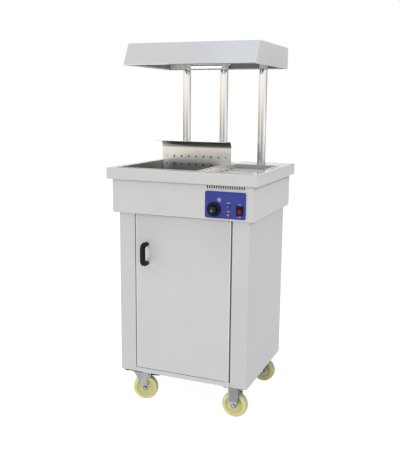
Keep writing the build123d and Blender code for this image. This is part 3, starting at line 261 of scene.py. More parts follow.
# Castor forks, plates, pedals, axles and bolts: pressed steel, zinc plated, with a mottled bluish spangle
# and duller patches. Each plate is held by four bolts under the cabinet floor. A swivel fork's legs carry a
# painted shade line along a fold; a rigid fork's legs carry painted shade along their right edges and a
# painted highlight along their left edges and on their light foot, and the rear rigid fork is painted dark
# as shade. The swivel plates and the rims of the axle bolt heads are painted dark as shade.
SWIVEL_ZINC = ((0.32, 0.35, 0.34), (0.50, 0.53, 0.51), 0.36)
RIGID_ZINC = ((0.20, 0.22, 0.21), (0.36, 0.38, 0.37), 0.34)
BOLT_ZINC = ((0.28, 0.29, 0.31), (0.58, 0.60, 0.62), 0.24)
PEDAL_ZINC_AND_PLATE_SHADE = ((0.012, 0.013, 0.013), (0.05, 0.053, 0.053), 0.46)
LEG_HALF = 0.024
LEG_FOOT = 0.0135
LEG_TAPER_HEIGHT = 0.024
EDGE_BAND = 0.006
EDGE_SOFT = 0.002
FORK_SHADE_GREY = (0.10, 0.125, 0.13)
FORK_HIGHLIGHT_GREY = (0.74, 0.77, 0.76)
FOOT_LOW = 0.008
FOOT_HIGH = 0.020
REAR_FORK_SHADE_SPAN = (0.0, 0.1)
RIB_SHADE_GREY = (0.20, 0.225, 0.22)
RIB_BEHIND = 0.0175
RIB_FLANKS = (0.0028, 0.0012)
BOLT_HEAD_SHADE = (0.018, 0.020, 0.018)
HEAD_FACE = 0.0062
HEAD_FLANK = 0.0012
AXLES = (
    ("front_left", "front_left_axle", 0.9),
    ("rear_left", "rear_left_axle", 0.9),
    ("front_right", "rigid_castor_axles", 0.4),
)

leg_x, axle_z = joints["front_right_roll"]["pos_m"][::2]
leg_taper = (LEG_HALF - LEG_FOOT) / LEG_TAPER_HEIGHT
rib_x = joints["front_left_roll"]["pos_m"][0] - RIB_BEHIND


def open_finish(name, constants):
    """New material with constants set on its shader; returns it, a blank signal and the shader."""
    material = bpy.data.materials.new(name)
    material.use_nodes = True
    shader = material.node_tree.nodes["Principled BSDF"]
    for socket, value in constants.items():
        shader.inputs[socket].default_value = value
    return material, Signal(material.node_tree), shader


def texture(start, kind, scale, **inputs):
    """Texture on the piece's own coordinates, with scale repeats per metre, along each axis or along all."""
    repeats = scale if isinstance(scale, tuple) else (scale, scale, scale)
    place = start.node("ShaderNodeTexCoord", output="Object")
    mapped = start.node("ShaderNodeMapping", inputs={"Vector": place, "Scale": repeats})
    return start.node(kind, None, {"Vector": mapped, "Scale": 1.0, **inputs})


def noise(start, scale, detail, roughness=0.5):
    """Noise on the piece's own coordinates."""
    return texture(start, "ShaderNodeTexNoise", scale, Detail=detail, Roughness=roughness)


def relief(shader, height, strength, distance):
    """Bump from a height signal, distance being the real depth in metres."""
    bump = {"Height": height, "Strength": strength, "Distance": distance}
    height.node("ShaderNodeBump", None, bump).feed(shader, "Normal")


def dress(material, *names):
    """Gives CAD nodes a material."""
    for name in names:
        for slot in nodes[name].material_slots:
            slot.material = material


def zinc_plate(name, dark, light, roughness):
    """Zinc plating between two greys."""
    material, start, shader = open_finish(name, {"Metallic": 0.75})
    spangle = texture(start, "ShaderNodeTexVoronoi", 160)
    stain = noise(start, 45, 4.0)
    (0.4 * spangle + 0.6 * stain).mix(dark, light).feed(shader, "Base Color")
    (roughness - 0.1 + 0.22 * stain).feed(shader, "Roughness")
    relief(shader, stain, 0.1, 0.0005)
    return material


def recolour(material, colour, share):
    """Lays a colour over a finish where share, given a face's normal and place, comes to one."""
    start = Signal(material.node_tree)
    shader = material.node_tree.nodes["Principled BSDF"]
    normal = start.node("ShaderNodeNewGeometry", output="Normal").parts()
    covered = share(normal, start.spot())
    below = Signal(material.node_tree, shader.inputs["Base Color"].links[0].from_socket)
    covered.mix(below, colour).feed(shader, "Base Color")
    return covered, shader


def from_axle(start, centre, axis):
    """Distance of a point from a line through centre along axis."""
    place = start.node("ShaderNodeTexCoord", output="Object")
    arm = start.node("ShaderNodeVectorMath", {"operation": "SUBTRACT"}, {0: place, 1: centre})
    along = start.node("ShaderNodeVectorMath", {"operation": "DOT_PRODUCT"}, {0: arm, 1: axis}, "Value")
    reach = start.node("ShaderNodeVectorMath", {"operation": "LENGTH"}, {0: arm}, "Value")
    return start.maths("MAXIMUM", reach ** 2.0 - along ** 2.0, 0.0) ** 0.5


def leg_edge(side):
    """Share of the band along one edge of a rigid fork's leg, which narrows to its foot; the band takes
    painted shade or a painted highlight.
    """
    def share(normal, place):
        above = place[2].maths("MAXIMUM", place[2] - axle_z, 0.0)
        half = place[2].maths("MINIMUM", LEG_FOOT + leg_taper * above, LEG_HALF)
        return 0.7 * (side * (place[0] - leg_x) - half).rise(-EDGE_BAND, EDGE_SOFT - EDGE_BAND)
    return share


def pressed_rib(normal, place):
    """Share of the painted shade line along a fold in a swivel fork's legs, behind its axle."""
    above_foot = place[2].rise(axle_z + FOOT_LOW, axle_z + FOOT_HIGH)
    return 0.6 * abs(place[0] - rib_x).rise(*RIB_FLANKS) * above_foot


swivel_zinc = zinc_plate("swivel_fork_zinc", *SWIVEL_ZINC)
# a painted shade line along a fold in the swivel forks' legs
recolour(swivel_zinc, RIB_SHADE_GREY, pressed_rib)
rigid_zinc = zinc_plate("rigid_fork_zinc", *RIGID_ZINC)
# the foot of each rigid fork leg is painted light as a highlight
recolour(rigid_zinc, FORK_HIGHLIGHT_GREY,
         lambda normal, place: 0.8 * place[2].rise(axle_z + FOOT_HIGH, axle_z + FOOT_LOW))
# painted shade along the right edge of the rigid fork's legs, and a painted highlight along the left edge
recolour(rigid_zinc, FORK_SHADE_GREY, leg_edge(1))
recolour(rigid_zinc, FORK_HIGHLIGHT_GREY, leg_edge(-1))
# the rear rigid fork is painted dark as shade
recolour(rigid_zinc, FORK_SHADE_GREY, lambda normal, place: 0.8 * place[1].rise(*REAR_FORK_SHADE_SPAN))
# the rim of each axle bolt head is painted dark as shade, most on the swivel castors
for corner, axle, head_shading in AXLES:
    roll = joints[corner + "_roll"]
    axle_zinc = zinc_plate(axle + "_zinc", *BOLT_ZINC)
    out = from_axle(Signal(axle_zinc.node_tree), tuple(roll["pos_m"]), tuple(roll["axis"]))
    recolour(axle_zinc, BOLT_HEAD_SHADE, lambda normal, place: head_shading * out.rise(HEAD_FACE, HEAD_FACE + HEAD_FLANK))
    dress(axle_zinc, axle)
dress(swivel_zinc, "front_left_castor_fork", "rear_left_castor_fork")
dress(rigid_zinc, "rigid_castor_forks")
dress(zinc_plate("bolt_zinc", *BOLT_ZINC), "castor_bolts")
# the pedals are dark zinc; the swivel plates are painted dark with the same finish as shade
dress(zinc_plate("dark_zinc", *PEDAL_ZINC_AND_PLATE_SHADE), "front_left_brake_pedal", "rear_left_brake_pedal",
      "swivel_castor_plates")

# Castor wheels: cast nylon, cream yellow, with a rounded tread, a flat rim, a dished web on both sides
# and a hub that stands proud of the tread. Each runs on its axle bolt between the legs of a fork. The web and
# the tread are painted darker than the rim, as shade in the dish and on the rounding, and the rear two
# wheels are painted darker as shade. The profile goes from the rim to the hub, in steps inwards and outwards.
NYLON_RIM = (0.80, 0.755, 0.37)
# the web and tread tones are painted darker than the rim, as shade in the dish and on the rounding
DISH_SHADE_NYLON = (0.67, 0.635, 0.235)
NYLON_HUB = (0.74, 0.70, 0.34)
TREAD_SHADE_NYLON = (0.62, 0.58, 0.30)
NYLON_DIRT_AND_SHADE = (0.30, 0.29, 0.15)
WHEEL_SIDES = 96
WHEEL_ROUNDING = 0.0007
RIM_WIDTH = 0.0125
TREAD_ROUNDING = 0.010
TREAD_HALF = 0.0175
WHEEL_PROFILE = (
    (RIM_WIDTH - TREAD_ROUNDING + 0.0025, 0.0),
    (0.0020, -0.0012),
    (0.0045, -0.0042),
    (0.0065, -0.0022),
    (0.0090, -0.0006),
    (0.0020, 0.0020),
    (0.0015, 0.0082),
    (0.0040, 0.0),
)
AXLE_HOLE = 0.0053
REAR_WHEEL_SHADE = (("front_left", 0.0), ("front_right", 0.0), ("rear_left", 0.28), ("rear_right", 0.28))


def span(box, axis):
    """Middle and half width of a box along an axis."""
    low, high = box
    return (low[axis] + high[axis]) / 2, (high[axis] - low[axis]) / 2


def pick(piece, kind, wanted):
    """Selects, in edit mode, only the faces or edges that are wanted."""
    bpy.ops.mesh.select_mode(type=kind)
    bpy.ops.mesh.select_all(action="DESELECT")
    shell = bmesh.from_edit_mesh(piece.data)
    for part in shell.faces if kind == "FACE" else shell.edges:
        part.select_set(wanted(part))
    bmesh.update_edit_mesh(piece.data)


def in_axle_hole(edge):
    """Whether an edge lies in the wheel's axle hole."""
    return all(math.hypot(end.co.x, end.co.z) < AXLE_HOLE + 0.0004 for end in edge.verts)


def round_edges(piece, width):
    """Rounds every sharp edge and smooths the faces between."""
    bevel = piece.modifiers.new("edge_rounding", "BEVEL")
    bevel.width = width
    bevel.segments = 2
    bevel.limit_method = "ANGLE"
    bevel.angle_limit = math.radians(28)
    bpy.ops.object.modifier_apply(modifier=bevel.name)
    bpy.ops.object.shade_smooth_by_angle(angle=math.radians(40))


def fit(piece, name, material, body):
    """Names a finished piece, gives it its material and lets it move with a body."""
    piece.name = name
    piece.data.name = name
    piece.data.materials.clear()
    piece.data.materials.append(material)
    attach(piece, body)


wheel_radius = span(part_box("front_right_wheel"), 2)[1]
rim_inside = wheel_radius - RIM_WIDTH
select_none()
bpy.ops.mesh.primitive_cylinder_add(
    vertices=WHEEL_SIDES, radius=wheel_radius, depth=2 * TREAD_HALF, rotation=(math.pi / 2, 0, 0))
wheel = bpy.context.object
bpy.ops.object.transform_apply(rotation=True)
bpy.ops.object.mode_set(mode="EDIT")
pick(wheel, "FACE", lambda face: abs(face.normal.y) > 0.9)
bpy.ops.mesh.bevel(offset=TREAD_ROUNDING, segments=6, affect="EDGES")
pick(wheel, "FACE", lambda face: abs(face.calc_center_median().y) > TREAD_HALF - 1e-5
     and abs(face.normal.y) > 0.999)
for step, rise in WHEEL_PROFILE:
    bpy.ops.mesh.inset(thickness=step, depth=rise)
hub_top = wheel_radius - TREAD_ROUNDING - sum(step for step, rise in WHEEL_PROFILE)
bpy.ops.mesh.inset(thickness=hub_top - AXLE_HOLE, depth=0)
bpy.ops.mesh.delete(type="FACE")
pick(wheel, "EDGE", in_axle_hole)
bpy.ops.mesh.bridge_edge_loops()
bpy.ops.mesh.select_all(action="SELECT")
bpy.ops.mesh.normals_make_consistent(inside=False)
bpy.ops.object.mode_set(mode="OBJECT")
round_edges(wheel, WHEEL_ROUNDING)

# the rear two wheels are painted darker as shade; on every wheel the same dark colour also marks real scuffs
# and smears
for corner, rear_shade in REAR_WHEEL_SHADE:
    roll = joints[corner + "_roll"]
    centre = tuple(roll["pos_m"])
    axis = tuple(roll["axis"])
    nylon, start, shader = open_finish(
        corner + "_nylon", {"Subsurface Weight": 0.08, "Subsurface Scale": 0.004})
    out = from_axle(start, centre, axis)
    grain = noise(start, 260, 4.0)
    smear = noise(start, 38, 5.0, 0.6)
    rim = out.rise(rim_inside - 0.005, rim_inside)
    tread = out.rise(wheel_radius - 0.004, wheel_radius - 0.0006)
    scuffed = tread * smear.rise(0.42, 0.7)
    web = out.rise(rim_inside - 0.007, rim_inside - 0.020).mix(DISH_SHADE_NYLON, NYLON_HUB)
    cast = (0.7 * tread).mix(rim.mix(web, NYLON_RIM), TREAD_SHADE_NYLON)
    worn = (rear_shade + 0.40 * scuffed + 0.12 * smear.rise(0.5, 0.75)).mix(cast, NYLON_DIRT_AND_SHADE)
    worn.feed(shader, "Base Color")
    (0.36 + 0.2 * smear).feed(shader, "Roughness")
    relief(shader, grain, 0.12, 0.0003)
    select_none()
    wheel.select_set(True)
    bpy.context.view_layer.objects.active = wheel
    bpy.ops.object.duplicate()
    copy = bpy.context.object
    copy.location = centre
    copy.rotation_euler = (0, 0, math.atan2(-axis[0], axis[1]))
    bpy.ops.object.transform_apply(location=True, rotation=True)
    fit(copy, corner + "_nylon_wheel", nylon, corner + "_wheel")
    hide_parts(corner + "_wheel")
bpy.data.objects.remove(wheel)

# Lower cabinet: side panels folded round into the front stiles, back panel and floor pan, of satin
# stainless sheet. The sheet is ground in one direction, so it has a fine grain, slow clouding from the
# rollers and faint smudges from handling. Under each overhang a thin line of shadow is painted on.
UPRIGHT_GRAIN = (900, 900, 9)
LEVEL_GRAIN = (9, 900, 900)
PLAIN_GRAIN = 220
SHEET_DARK = (0.57, 0.57, 0.57)
SHEET_LIGHT = (0.68, 0.68, 0.68)
UPRIGHT_DARK = (0.55, 0.55, 0.55)
UPRIGHT_LIGHT = (0.655, 0.655, 0.655)
PLAIN_DARK = (0.38, 0.38, 0.38)
PLAIN_LIGHT = (0.52, 0.52, 0.51)
WARM_TINGE = (1.0, 0.998, 0.99)
COOL_TINGE = (0.98, 0.985, 1.0)
OVERHANG_SHADOW = (0.22, 0.22, 0.22)
SHADOW_DEPTH = 0.009
SHADOW_BESIDE = 0.010

housing_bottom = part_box("housing_floor")[0][2]


def sheet_steel(name, dark, light, grain, metallic=0.35, roughness=0.42):
    """Satin sheet between two greys; grain is its scratches per metre along each axis, or along all."""
    material, start, shader = open_finish(name, {"Metallic": metallic})
    scratches = noise(start, grain, 4.0, 0.65)
    clouds = noise(start, 3, 2.0)
    smudges = noise(start, 22, 5.0)
    tinge = noise(start, (5, 5, 2.5), 1.0).rise(0.35, 0.65)
    grey = (0.5 * clouds + 0.35 * scratches + 0.15 * smudges).mix(dark, light)
    tint = tinge.mix(WARM_TINGE, COOL_TINGE)
    tinted = {"data_type": "RGBA", "blend_type": "MULTIPLY"}
    start.node("ShaderNodeMix", tinted, {0: 1.0, 6: grey, 7: tint}, 2).feed(shader, "Base Color")
    (roughness - 0.08 + 0.12 * scratches + 0.05 * smudges).feed(shader, "Roughness")
    relief(shader, scratches, 0.06, 0.0004)
    return material


def dirt_under(edge, beside=0.0):
    """Share of the painted shadow line under an overhanging edge, which reaches lower on the sides by beside.
    """
    def share(normal, place):
        drop = edge - place[2] - beside * abs(normal[0]).rise(0.4, 0.6)
        return 0.5 * drop.rise(SHADOW_DEPTH, 0.001)
    return share


upright_sheet = sheet_steel("satin_steel_upright", UPRIGHT_DARK, UPRIGHT_LIGHT, UPRIGHT_GRAIN)
level_sheet = sheet_steel("satin_steel_level", SHEET_DARK, SHEET_LIGHT, LEVEL_GRAIN)
plain_steel = sheet_steel("plain_steel", PLAIN_DARK, PLAIN_LIGHT, PLAIN_GRAIN, 1.0, 0.36)
# a painted shadow line under the housing's overhang
recolour(upright_sheet, OVERHANG_SHADOW, dirt_under(housing_bottom, SHADOW_BESIDE))
dress(upright_sheet, "left_side_panel", "right_side_panel", "back_panel")
dress(level_sheet, "cabinet_floor")
dress(plain_steel, "hinge_brackets")

# Door: a flush skin over a folded back plate, hung on concealed pins in plastic bushes and held shut by
# a magnetic catch. The bow handle is a black moulding, fixed by two screws from behind. The skin is painted
# lighter beside it to thin the handle's shadow, its two upright edges carry a painted highlight, and it is
# painted darker towards its upper corners as shade.
DOOR_SHADE = (0.53, 0.53, 0.53)
DOOR_EDGE_HIGHLIGHT = (0.86, 0.86, 0.86)
EDGE_HIGHLIGHT_WIDTH = 0.003
HANDLE_SHADOW_FILL = (0.92, 0.92, 0.92)
SHADOW_FILL_WIDTH = 0.048
BLACK_DARK = (0.005, 0.006, 0.011)
BLACK_LIGHT = (0.011, 0.012, 0.020)
BUSH_DARK = (0.62, 0.62, 0.58)
BUSH_LIGHT = (0.78, 0.78, 0.75)

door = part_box("door_skin")
door_front = door[0][1]
door_x, door_half = span(door, 0)
door_z = span(door, 2)[0]
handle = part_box("door_handle")
handle_x = span(handle, 0)[0]
handle_z, handle_half = span(handle, 2)


def moulding(name, dark, light, roughness):
    """Moulded plastic with a fine spark-eroded texture and a few polished patches."""
    material, start, shader = open_finish(name, {"Specular IOR Level": 0.14})
    stipple = noise(start, 1400, 3.0)
    rubbed = noise(start, 30, 4.0)
    (0.35 * stipple + 0.65 * rubbed).mix(dark, light).feed(shader, "Base Color")
    (roughness - 0.06 + 0.14 * rubbed).feed(shader, "Roughness")
    relief(shader, stipple, 0.12, 0.0002)
    return material


def door_shade(normal, place):
    """Share of the painted shade that darkens the door slowly towards its upper corners."""
    outward = 0.35 + 0.65 * abs(place[0] - door_x).rise(0.02, door_half)
    return 0.75 * outward * place[2].rise(door_z, door[1][2])


def hand_rubbed(normal, place):
    """Share of the door's face beside the handle, painted lighter to thin the handle's shadow."""
    beside = place[0] - handle_x
    return (beside.rise(SHADOW_FILL_WIDTH, 0.004) * beside.rise(-0.012, -0.004)
            * abs(place[2] - handle_z).rise(handle_half + 0.012, handle_half - 0.008)
            * place[1].rise(door_front + 0.004, door_front + 0.002))


def door_edge(normal, place):
    """Share of the painted highlight along the door's two upright edges."""
    edge = door_half - EDGE_HIGHLIGHT_WIDTH
    return 0.7 * abs(place[0] - door_x).rise(edge - 0.0015, edge + 0.0015)


black_moulding = moulding("black_moulding", BLACK_DARK, BLACK_LIGHT, 0.46)
bush_moulding = moulding("bush_moulding", BUSH_DARK, BUSH_LIGHT, 0.45)
door_sheet = sheet_steel("door_steel", SHEET_DARK, SHEET_LIGHT, UPRIGHT_GRAIN)
# painted shade, darker towards the door's upper corners
recolour(door_sheet, DOOR_SHADE, door_shade)
# the skin beside the handle is painted lighter to thin the handle's shadow
recolour(door_sheet, HANDLE_SHADOW_FILL, hand_rubbed)
# a painted highlight along the door's two upright edges
recolour(door_sheet, DOOR_EDGE_HIGHLIGHT, door_edge)
# a painted shadow line under the housing's overhang
recolour(door_sheet, OVERHANG_SHADOW, dirt_under(housing_bottom))
dress(door_sheet, "door_skin", "door_back_plate")
dress(black_moulding, "door_handle", "magnetic_catch")
dress(bush_moulding, "hinge_bushes")
dress(plain_steel, "catch_striker", "handle_screws")

# Upper housing: one folded wrap with a row of vent slots, a floor pan over the cabinet and a rear cover on
# screws, all of satin sheet. The cord comes in through a black gland in the cover. The slots' walls are
# painted dark as shade and the bars between them painted light, and the wrap's sides are painted lighter
# than its front, as lit.
VENT_ROW = 0.081
VENT_HEIGHT = 0.013
VENT_OVER_PANEL = 0.006
VENT_SOFT = 0.001
SLOT_SHADE = (0.008, 0.008, 0.009)
LIT_VENT_BAR = (0.80, 0.80, 0.80)
SIDE_LIGHT_FILL = (0.71, 0.71, 0.71)

panel_low, panel_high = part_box("control_plate")
wrap_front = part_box("housing_wrap")[0][1]
vent_x = span((panel_low, panel_high), 0)[0]
vent_z = panel_high[2] + VENT_OVER_PANEL + VENT_HEIGHT / 2


def vents(place):
    """Share of the row of vent slots in the front."""
    return (abs(place[0] - vent_x).rise(VENT_ROW + VENT_SOFT, VENT_ROW)
            * abs(place[2] - vent_z).rise(VENT_HEIGHT / 2 + VENT_SOFT, VENT_HEIGHT / 2)
            * place[1].rise(wrap_front + 0.006, wrap_front + 0.004))


def bright_side(normal, place):
    """Share of the housing's sides, painted a little lighter than its front as lit."""
    upward = 0.6 + 0.4 * place[2].rise(panel_low[2], panel_high[2])
    return upward * abs(normal[0]).rise(0.8, 0.95)


housing_sheet = sheet_steel("housing_steel", SHEET_DARK, SHEET_LIGHT, LEVEL_GRAIN)
# the housing's sides are painted lighter, as lit, most near the top
recolour(housing_sheet, SIDE_LIGHT_FILL, bright_side)
# a painted shadow line under the worktop's rim
recolour(housing_sheet, OVERHANG_SHADOW, dirt_under(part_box("worktop")[0][2], SHADOW_BESIDE))
# the bars between the vent slots are painted light
recolour(housing_sheet, LIT_VENT_BAR, lambda normal, place: vents(place) * normal[1].rise(-0.7, -0.9))
# the vent slots' walls are painted dark as shade
recolour(housing_sheet, SLOT_SHADE, lambda normal, place: vents(place) * normal[1].rise(-0.7, -0.3))
dress(housing_sheet, "housing_wrap")
dress(level_sheet, "housing_floor", "housing_rear_cover")
dress(plain_steel, "rear_cover_screws")
dress(black_moulding, "cable_gland")

# Control panel: an anodised plate under a blue printed film, glued on, which carries white marks: a heat
# sign by the knob, a word over each pilot light and one at each end of the switch.
PLATE_DARK = (0.56, 0.53, 0.66)
PLATE_LIGHT = (0.70, 0.67, 0.80)
FILM_DARK = (0.030, 0.045, 0.27)
FILM_LIGHT = (0.042, 0.060, 0.33)
PRINT = (0.84, 0.86, 0.90)
PRINT_THIN = (0.60, 0.62, 0.69)
PRINT_DEPTH = 0.0003
WORD_HEIGHT = 0.0048
WORD_GAP = 0.007
HEAT_GAP = 0.006
SIGN_RADIUS = 0.0078
SIGN_LINE = 0.0012
SIGN_SIDES = 48
SIGN_RIGHT = 0.0215
SIGN_UP = 0.039
WAVE_HEIGHT = 0.0072
WAVE_PITCH = 0.0028

film_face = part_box("control_fascia")[0][1]
knob_x, knob_z = joints["knob_turn"]["pos_m"][::2]
switch_x, switch_z = joints["switch_rock"]["pos_m"][::2]
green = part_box("green_pilot_light")
lamp_x, lens_radius = span(green, 0)
green_z = span(green, 2)[0]
orange_z = span(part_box("orange_pilot_light"), 2)[0]
bezel_low, bezel_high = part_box("switch_housing")
sign_x = knob_x + SIGN_RIGHT
sign_z = knob_z + SIGN_UP


def mark(words, x, z, height, y, turn=0.0):
    """Flat word in front of y, upright when turn is zero; turn is clockwise, in radians."""
    select_none()
    bpy.ops.object.text_add()
    text = bpy.context.object
    text.data.body = words
    text.data.size = height
    text.data.align_x = "CENTER"
    text.data.align_y = "CENTER"
    text.data.extrude = PRINT_DEPTH / 2
    text.data.offset = 0.02 * height
    text.data.resolution_u = 4
    bpy.ops.object.convert(target="MESH")
    piece = bpy.context.object
    piece.rotation_euler = (math.pi / 2, turn, 0)
    piece.location = (x, y - PRINT_DEPTH / 2, z)
    bpy.ops.object.transform_apply(location=True, rotation=True)
    return piece


def join(pieces):
    """Makes one piece of several."""
    select_none()
    for piece in pieces:
        piece.select_set(True)
    bpy.context.view_layer.objects.active = pieces[0]
    bpy.ops.object.join()
    return bpy.context.object


def ink(name, dark, light):
    """Screen-printed ink, thin in places."""
    material, start, shader = open_finish(name, {})
    cover = noise(start, 900, 2.0)
    cover.mix(dark, light).feed(shader, "Base Color")
    (0.4 + 0.1 * cover).feed(shader, "Roughness")
    return material


dress(sheet_steel("anodised_plate", PLATE_DARK, PLATE_LIGHT, LEVEL_GRAIN, 0.3, 0.34), "control_plate")
blue_film, start, shader = open_finish("blue_film", {"Specular IOR Level": 0.25})
orange_peel = noise(start, 700, 2.0)
fading = noise(start, 14, 3.0)
(0.25 * orange_peel + 0.75 * fading).mix(FILM_DARK, FILM_LIGHT).feed(shader, "Base Color")
(0.34 + 0.1 * orange_peel).feed(shader, "Roughness")
relief(shader, orange_peel, 0.08, 0.0002)
dress(blue_film, "control_fascia")

marks = [
    mark("POWER", lamp_x, green_z + lens_radius + WORD_GAP, WORD_HEIGHT, film_face),
    mark("HEAT", lamp_x, orange_z + lens_radius + HEAT_GAP, WORD_HEIGHT, film_face),
    mark("ON", switch_x, bezel_high[2] + WORD_GAP, WORD_HEIGHT, film_face),
    mark("OFF", switch_x, bezel_low[2] - WORD_GAP, WORD_HEIGHT, film_face),
]
select_none()
bpy.ops.mesh.primitive_circle_add(
    vertices=SIGN_SIDES, radius=SIGN_RADIUS, fill_type="NGON", rotation=(math.pi / 2, 0, 0))
sign_ring = bpy.context.object
bpy.ops.object.transform_apply(rotation=True)
bpy.ops.object.mode_set(mode="EDIT")
bpy.ops.mesh.select_all(action="SELECT")
bpy.ops.mesh.inset(thickness=SIGN_LINE)
bpy.ops.mesh.delete(type="FACE")
bpy.ops.mesh.select_all(action="SELECT")
bpy.ops.mesh.extrude_region_move(TRANSFORM_OT_translate={"value": (0, -PRINT_DEPTH, 0)})
bpy.ops.mesh.select_all(action="SELECT")
bpy.ops.mesh.normals_make_consistent(inside=False)
bpy.ops.object.mode_set(mode="OBJECT")
sign_ring.location = (sign_x, film_face, sign_z)
bpy.ops.object.transform_apply(location=True)
marks.append(sign_ring)
for offset in (-WAVE_PITCH, 0.0, WAVE_PITCH):
    marks.append(mark("S", sign_x + offset, sign_z, WAVE_HEIGHT, film_face))
fit(join(marks), "panel_marks", ink("white_print", PRINT_THIN, PRINT), "carcass")

# Thermostat knob: a black moulding with a wide skirt, a round fluted grip and a dark grey cap set into its
# end. It is pushed on the thermostat's shaft; the skirt has faint numbers and the cap a grey pointer.
KNOB_DARK = (0.004, 0.006, 0.014)
KNOB_LIGHT = (0.011, 0.014, 0.028)
CAP_GREY = (0.024, 0.028, 0.042)
KNOB_SKIRT = 0.006
KNOB_ROUNDING = 0.0003
SKIRT_ROUNDING = 0.002
GROOVE_WIDTH = 0.0008
GROOVE_DEPTH = 0.0006
GRIP_RADIUS = 0.018
GRIP_TAPER = 0.95
GRIP_CROWN = ((0.0010, 0.0012), (0.0018, 0.0010))
FLUTES = 24
FLUTE_INSET = 0.0003
FLUTE_DEPTH = 0.0008
CAP_RADIUS = 0.0118
CAP_STEP = 0.0005
CAP_SUNK = 0.0007
NUMBER_DARK = (0.06, 0.065, 0.08)
NUMBER_LIGHT = (0.20, 0.21, 0.24)
NUMBER_HEIGHT = 0.0058
NUMBER_RADIUS = 0.0225
FIRST_NUMBER = math.radians(-30)
NUMBER_STEP = math.radians(24)
POINTER_DARK = (0.26, 0.28, 0.32)
POINTER_LIGHT = (0.46, 0.48, 0.53)
POINTER_HEIGHT = 0.0125
POINTER_RADIUS = 0.0045
POINTER_TURN = math.radians(-135)

knob_low, knob_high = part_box("control_knob")
skirt_radius = span((knob_low, knob_high), 0)[1]
skirt_face = knob_high[1] - KNOB_SKIRT
cap_face = knob_low[1] + CAP_SUNK
crown_width = sum(width for width, rise in GRIP_CROWN)
crown_height = sum(rise for width, rise in GRIP_CROWN)
grip_reach = skirt_face - knob_low[1] + GROOVE_DEPTH - crown_height


def in_flute(face):
    """Whether a face is the one in three round the grip that is pressed in as a flute."""
    centre = face.calc_center_median()
    turn = math.atan2(centre.z - knob_z, centre.x - knob_x) / math.tau
    on_grip = abs(face.normal.y) < 0.2 and centre.y < skirt_face
    return on_grip and round(turn * 3 * FLUTES - 0.5) % 3 == 0


def on_knob(words, radius, turn, height, face):
    """Mark at a turn round the knob's axis."""
    return mark(words, knob_x + radius * math.sin(turn), knob_z + radius * math.cos(turn), height, face, turn)


select_none()
bpy.ops.mesh.primitive_cylinder_add(
    vertices=3 * FLUTES, radius=skirt_radius, depth=KNOB_SKIRT, rotation=(math.pi / 2, 0, 0))
knob = bpy.context.object
knob.location = (knob_x, knob_high[1] - KNOB_SKIRT / 2, knob_z)
bpy.ops.object.transform_apply(location=True, rotation=True)
bpy.ops.object.mode_set(mode="EDIT")
pick(knob, "FACE", lambda face: face.normal.y < -0.9)
bpy.ops.mesh.bevel(offset=SKIRT_ROUNDING, segments=3)
pick(knob, "FACE", lambda face: face.normal.y < -0.999)
bpy.ops.mesh.inset(thickness=skirt_radius - SKIRT_ROUNDING - GRIP_RADIUS - GROOVE_WIDTH, depth=0)
bpy.ops.mesh.inset(thickness=GROOVE_WIDTH, depth=-GROOVE_DEPTH)
bpy.ops.mesh.extrude_region_move(TRANSFORM_OT_translate={"value": (0, -grip_reach, 0)})
bpy.ops.transform.resize(
    value=(GRIP_TAPER, 1, GRIP_TAPER), center_override=(knob_x, knob_low[1], knob_z))
for width, rise in GRIP_CROWN:
    bpy.ops.mesh.inset(thickness=width, depth=rise)
bpy.ops.mesh.inset(thickness=GRIP_TAPER * GRIP_RADIUS - crown_width - CAP_RADIUS, depth=0)
bpy.ops.mesh.inset(thickness=CAP_STEP, depth=-CAP_SUNK)
pick(knob, "FACE", in_flute)
bpy.ops.mesh.inset(thickness=FLUTE_INSET, depth=-FLUTE_DEPTH, use_individual=True)
bpy.ops.object.mode_set(mode="OBJECT")
round_edges(knob, KNOB_ROUNDING)

knob_finish, start, shader = open_finish("knob_moulding", {"Specular IOR Level": 0.12})
out = from_axle(start, (knob_x, 0, knob_z), (0, 1, 0))
stipple = noise(start, 1400, 3.0)
rubbed = noise(start, 60, 4.0)
near_end = start.spot()[1].rise(knob_low[1] + 0.004, knob_low[1] + 0.002)
cap = out.rise(CAP_RADIUS + 0.0002, CAP_RADIUS - 0.0004) * near_end
black = (0.5 * stipple + 0.5 * rubbed).mix(KNOB_DARK, KNOB_LIGHT)
cap.mix(black, CAP_GREY).feed(shader, "Base Color")
(0.38 + 0.16 * rubbed).feed(shader, "Roughness")
relief(shader, stipple, 0.1, 0.0002)
fit(knob, "fluted_knob", knob_finish, "knob")
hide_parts("control_knob")

numbers = []
for number in range(1, 7):
    turn = FIRST_NUMBER + number * NUMBER_STEP
    numbers.append(on_knob(str(number), NUMBER_RADIUS, turn, NUMBER_HEIGHT, skirt_face))
number_ink = ink("number_print", NUMBER_DARK, NUMBER_LIGHT)
fit(join(numbers), "knob_numbers", number_ink, "knob")
pointer = on_knob("A", POINTER_RADIUS, POINTER_TURN, POINTER_HEIGHT, cap_face)
pointer_ink = ink("pointer_print", POINTER_DARK, POINTER_LIGHT)
fit(pointer, "knob_pointer", pointer_ink, "knob")
dress(plain_steel, "thermostat_shaft")

# Pilot lights: a coloured lens with moulded facets in a dark bezel, pushed through the panel from the
# front. Each glows weakly.
GREEN_LENS = (0.015, 0.27, 0.20)
ORANGE_LENS = (0.66, 0.21, 0.05)
BEZEL = (0.012, 0.013, 0.016)
LENS_OUTSIDE = 0.78
LENS_INSIDE = 0.64


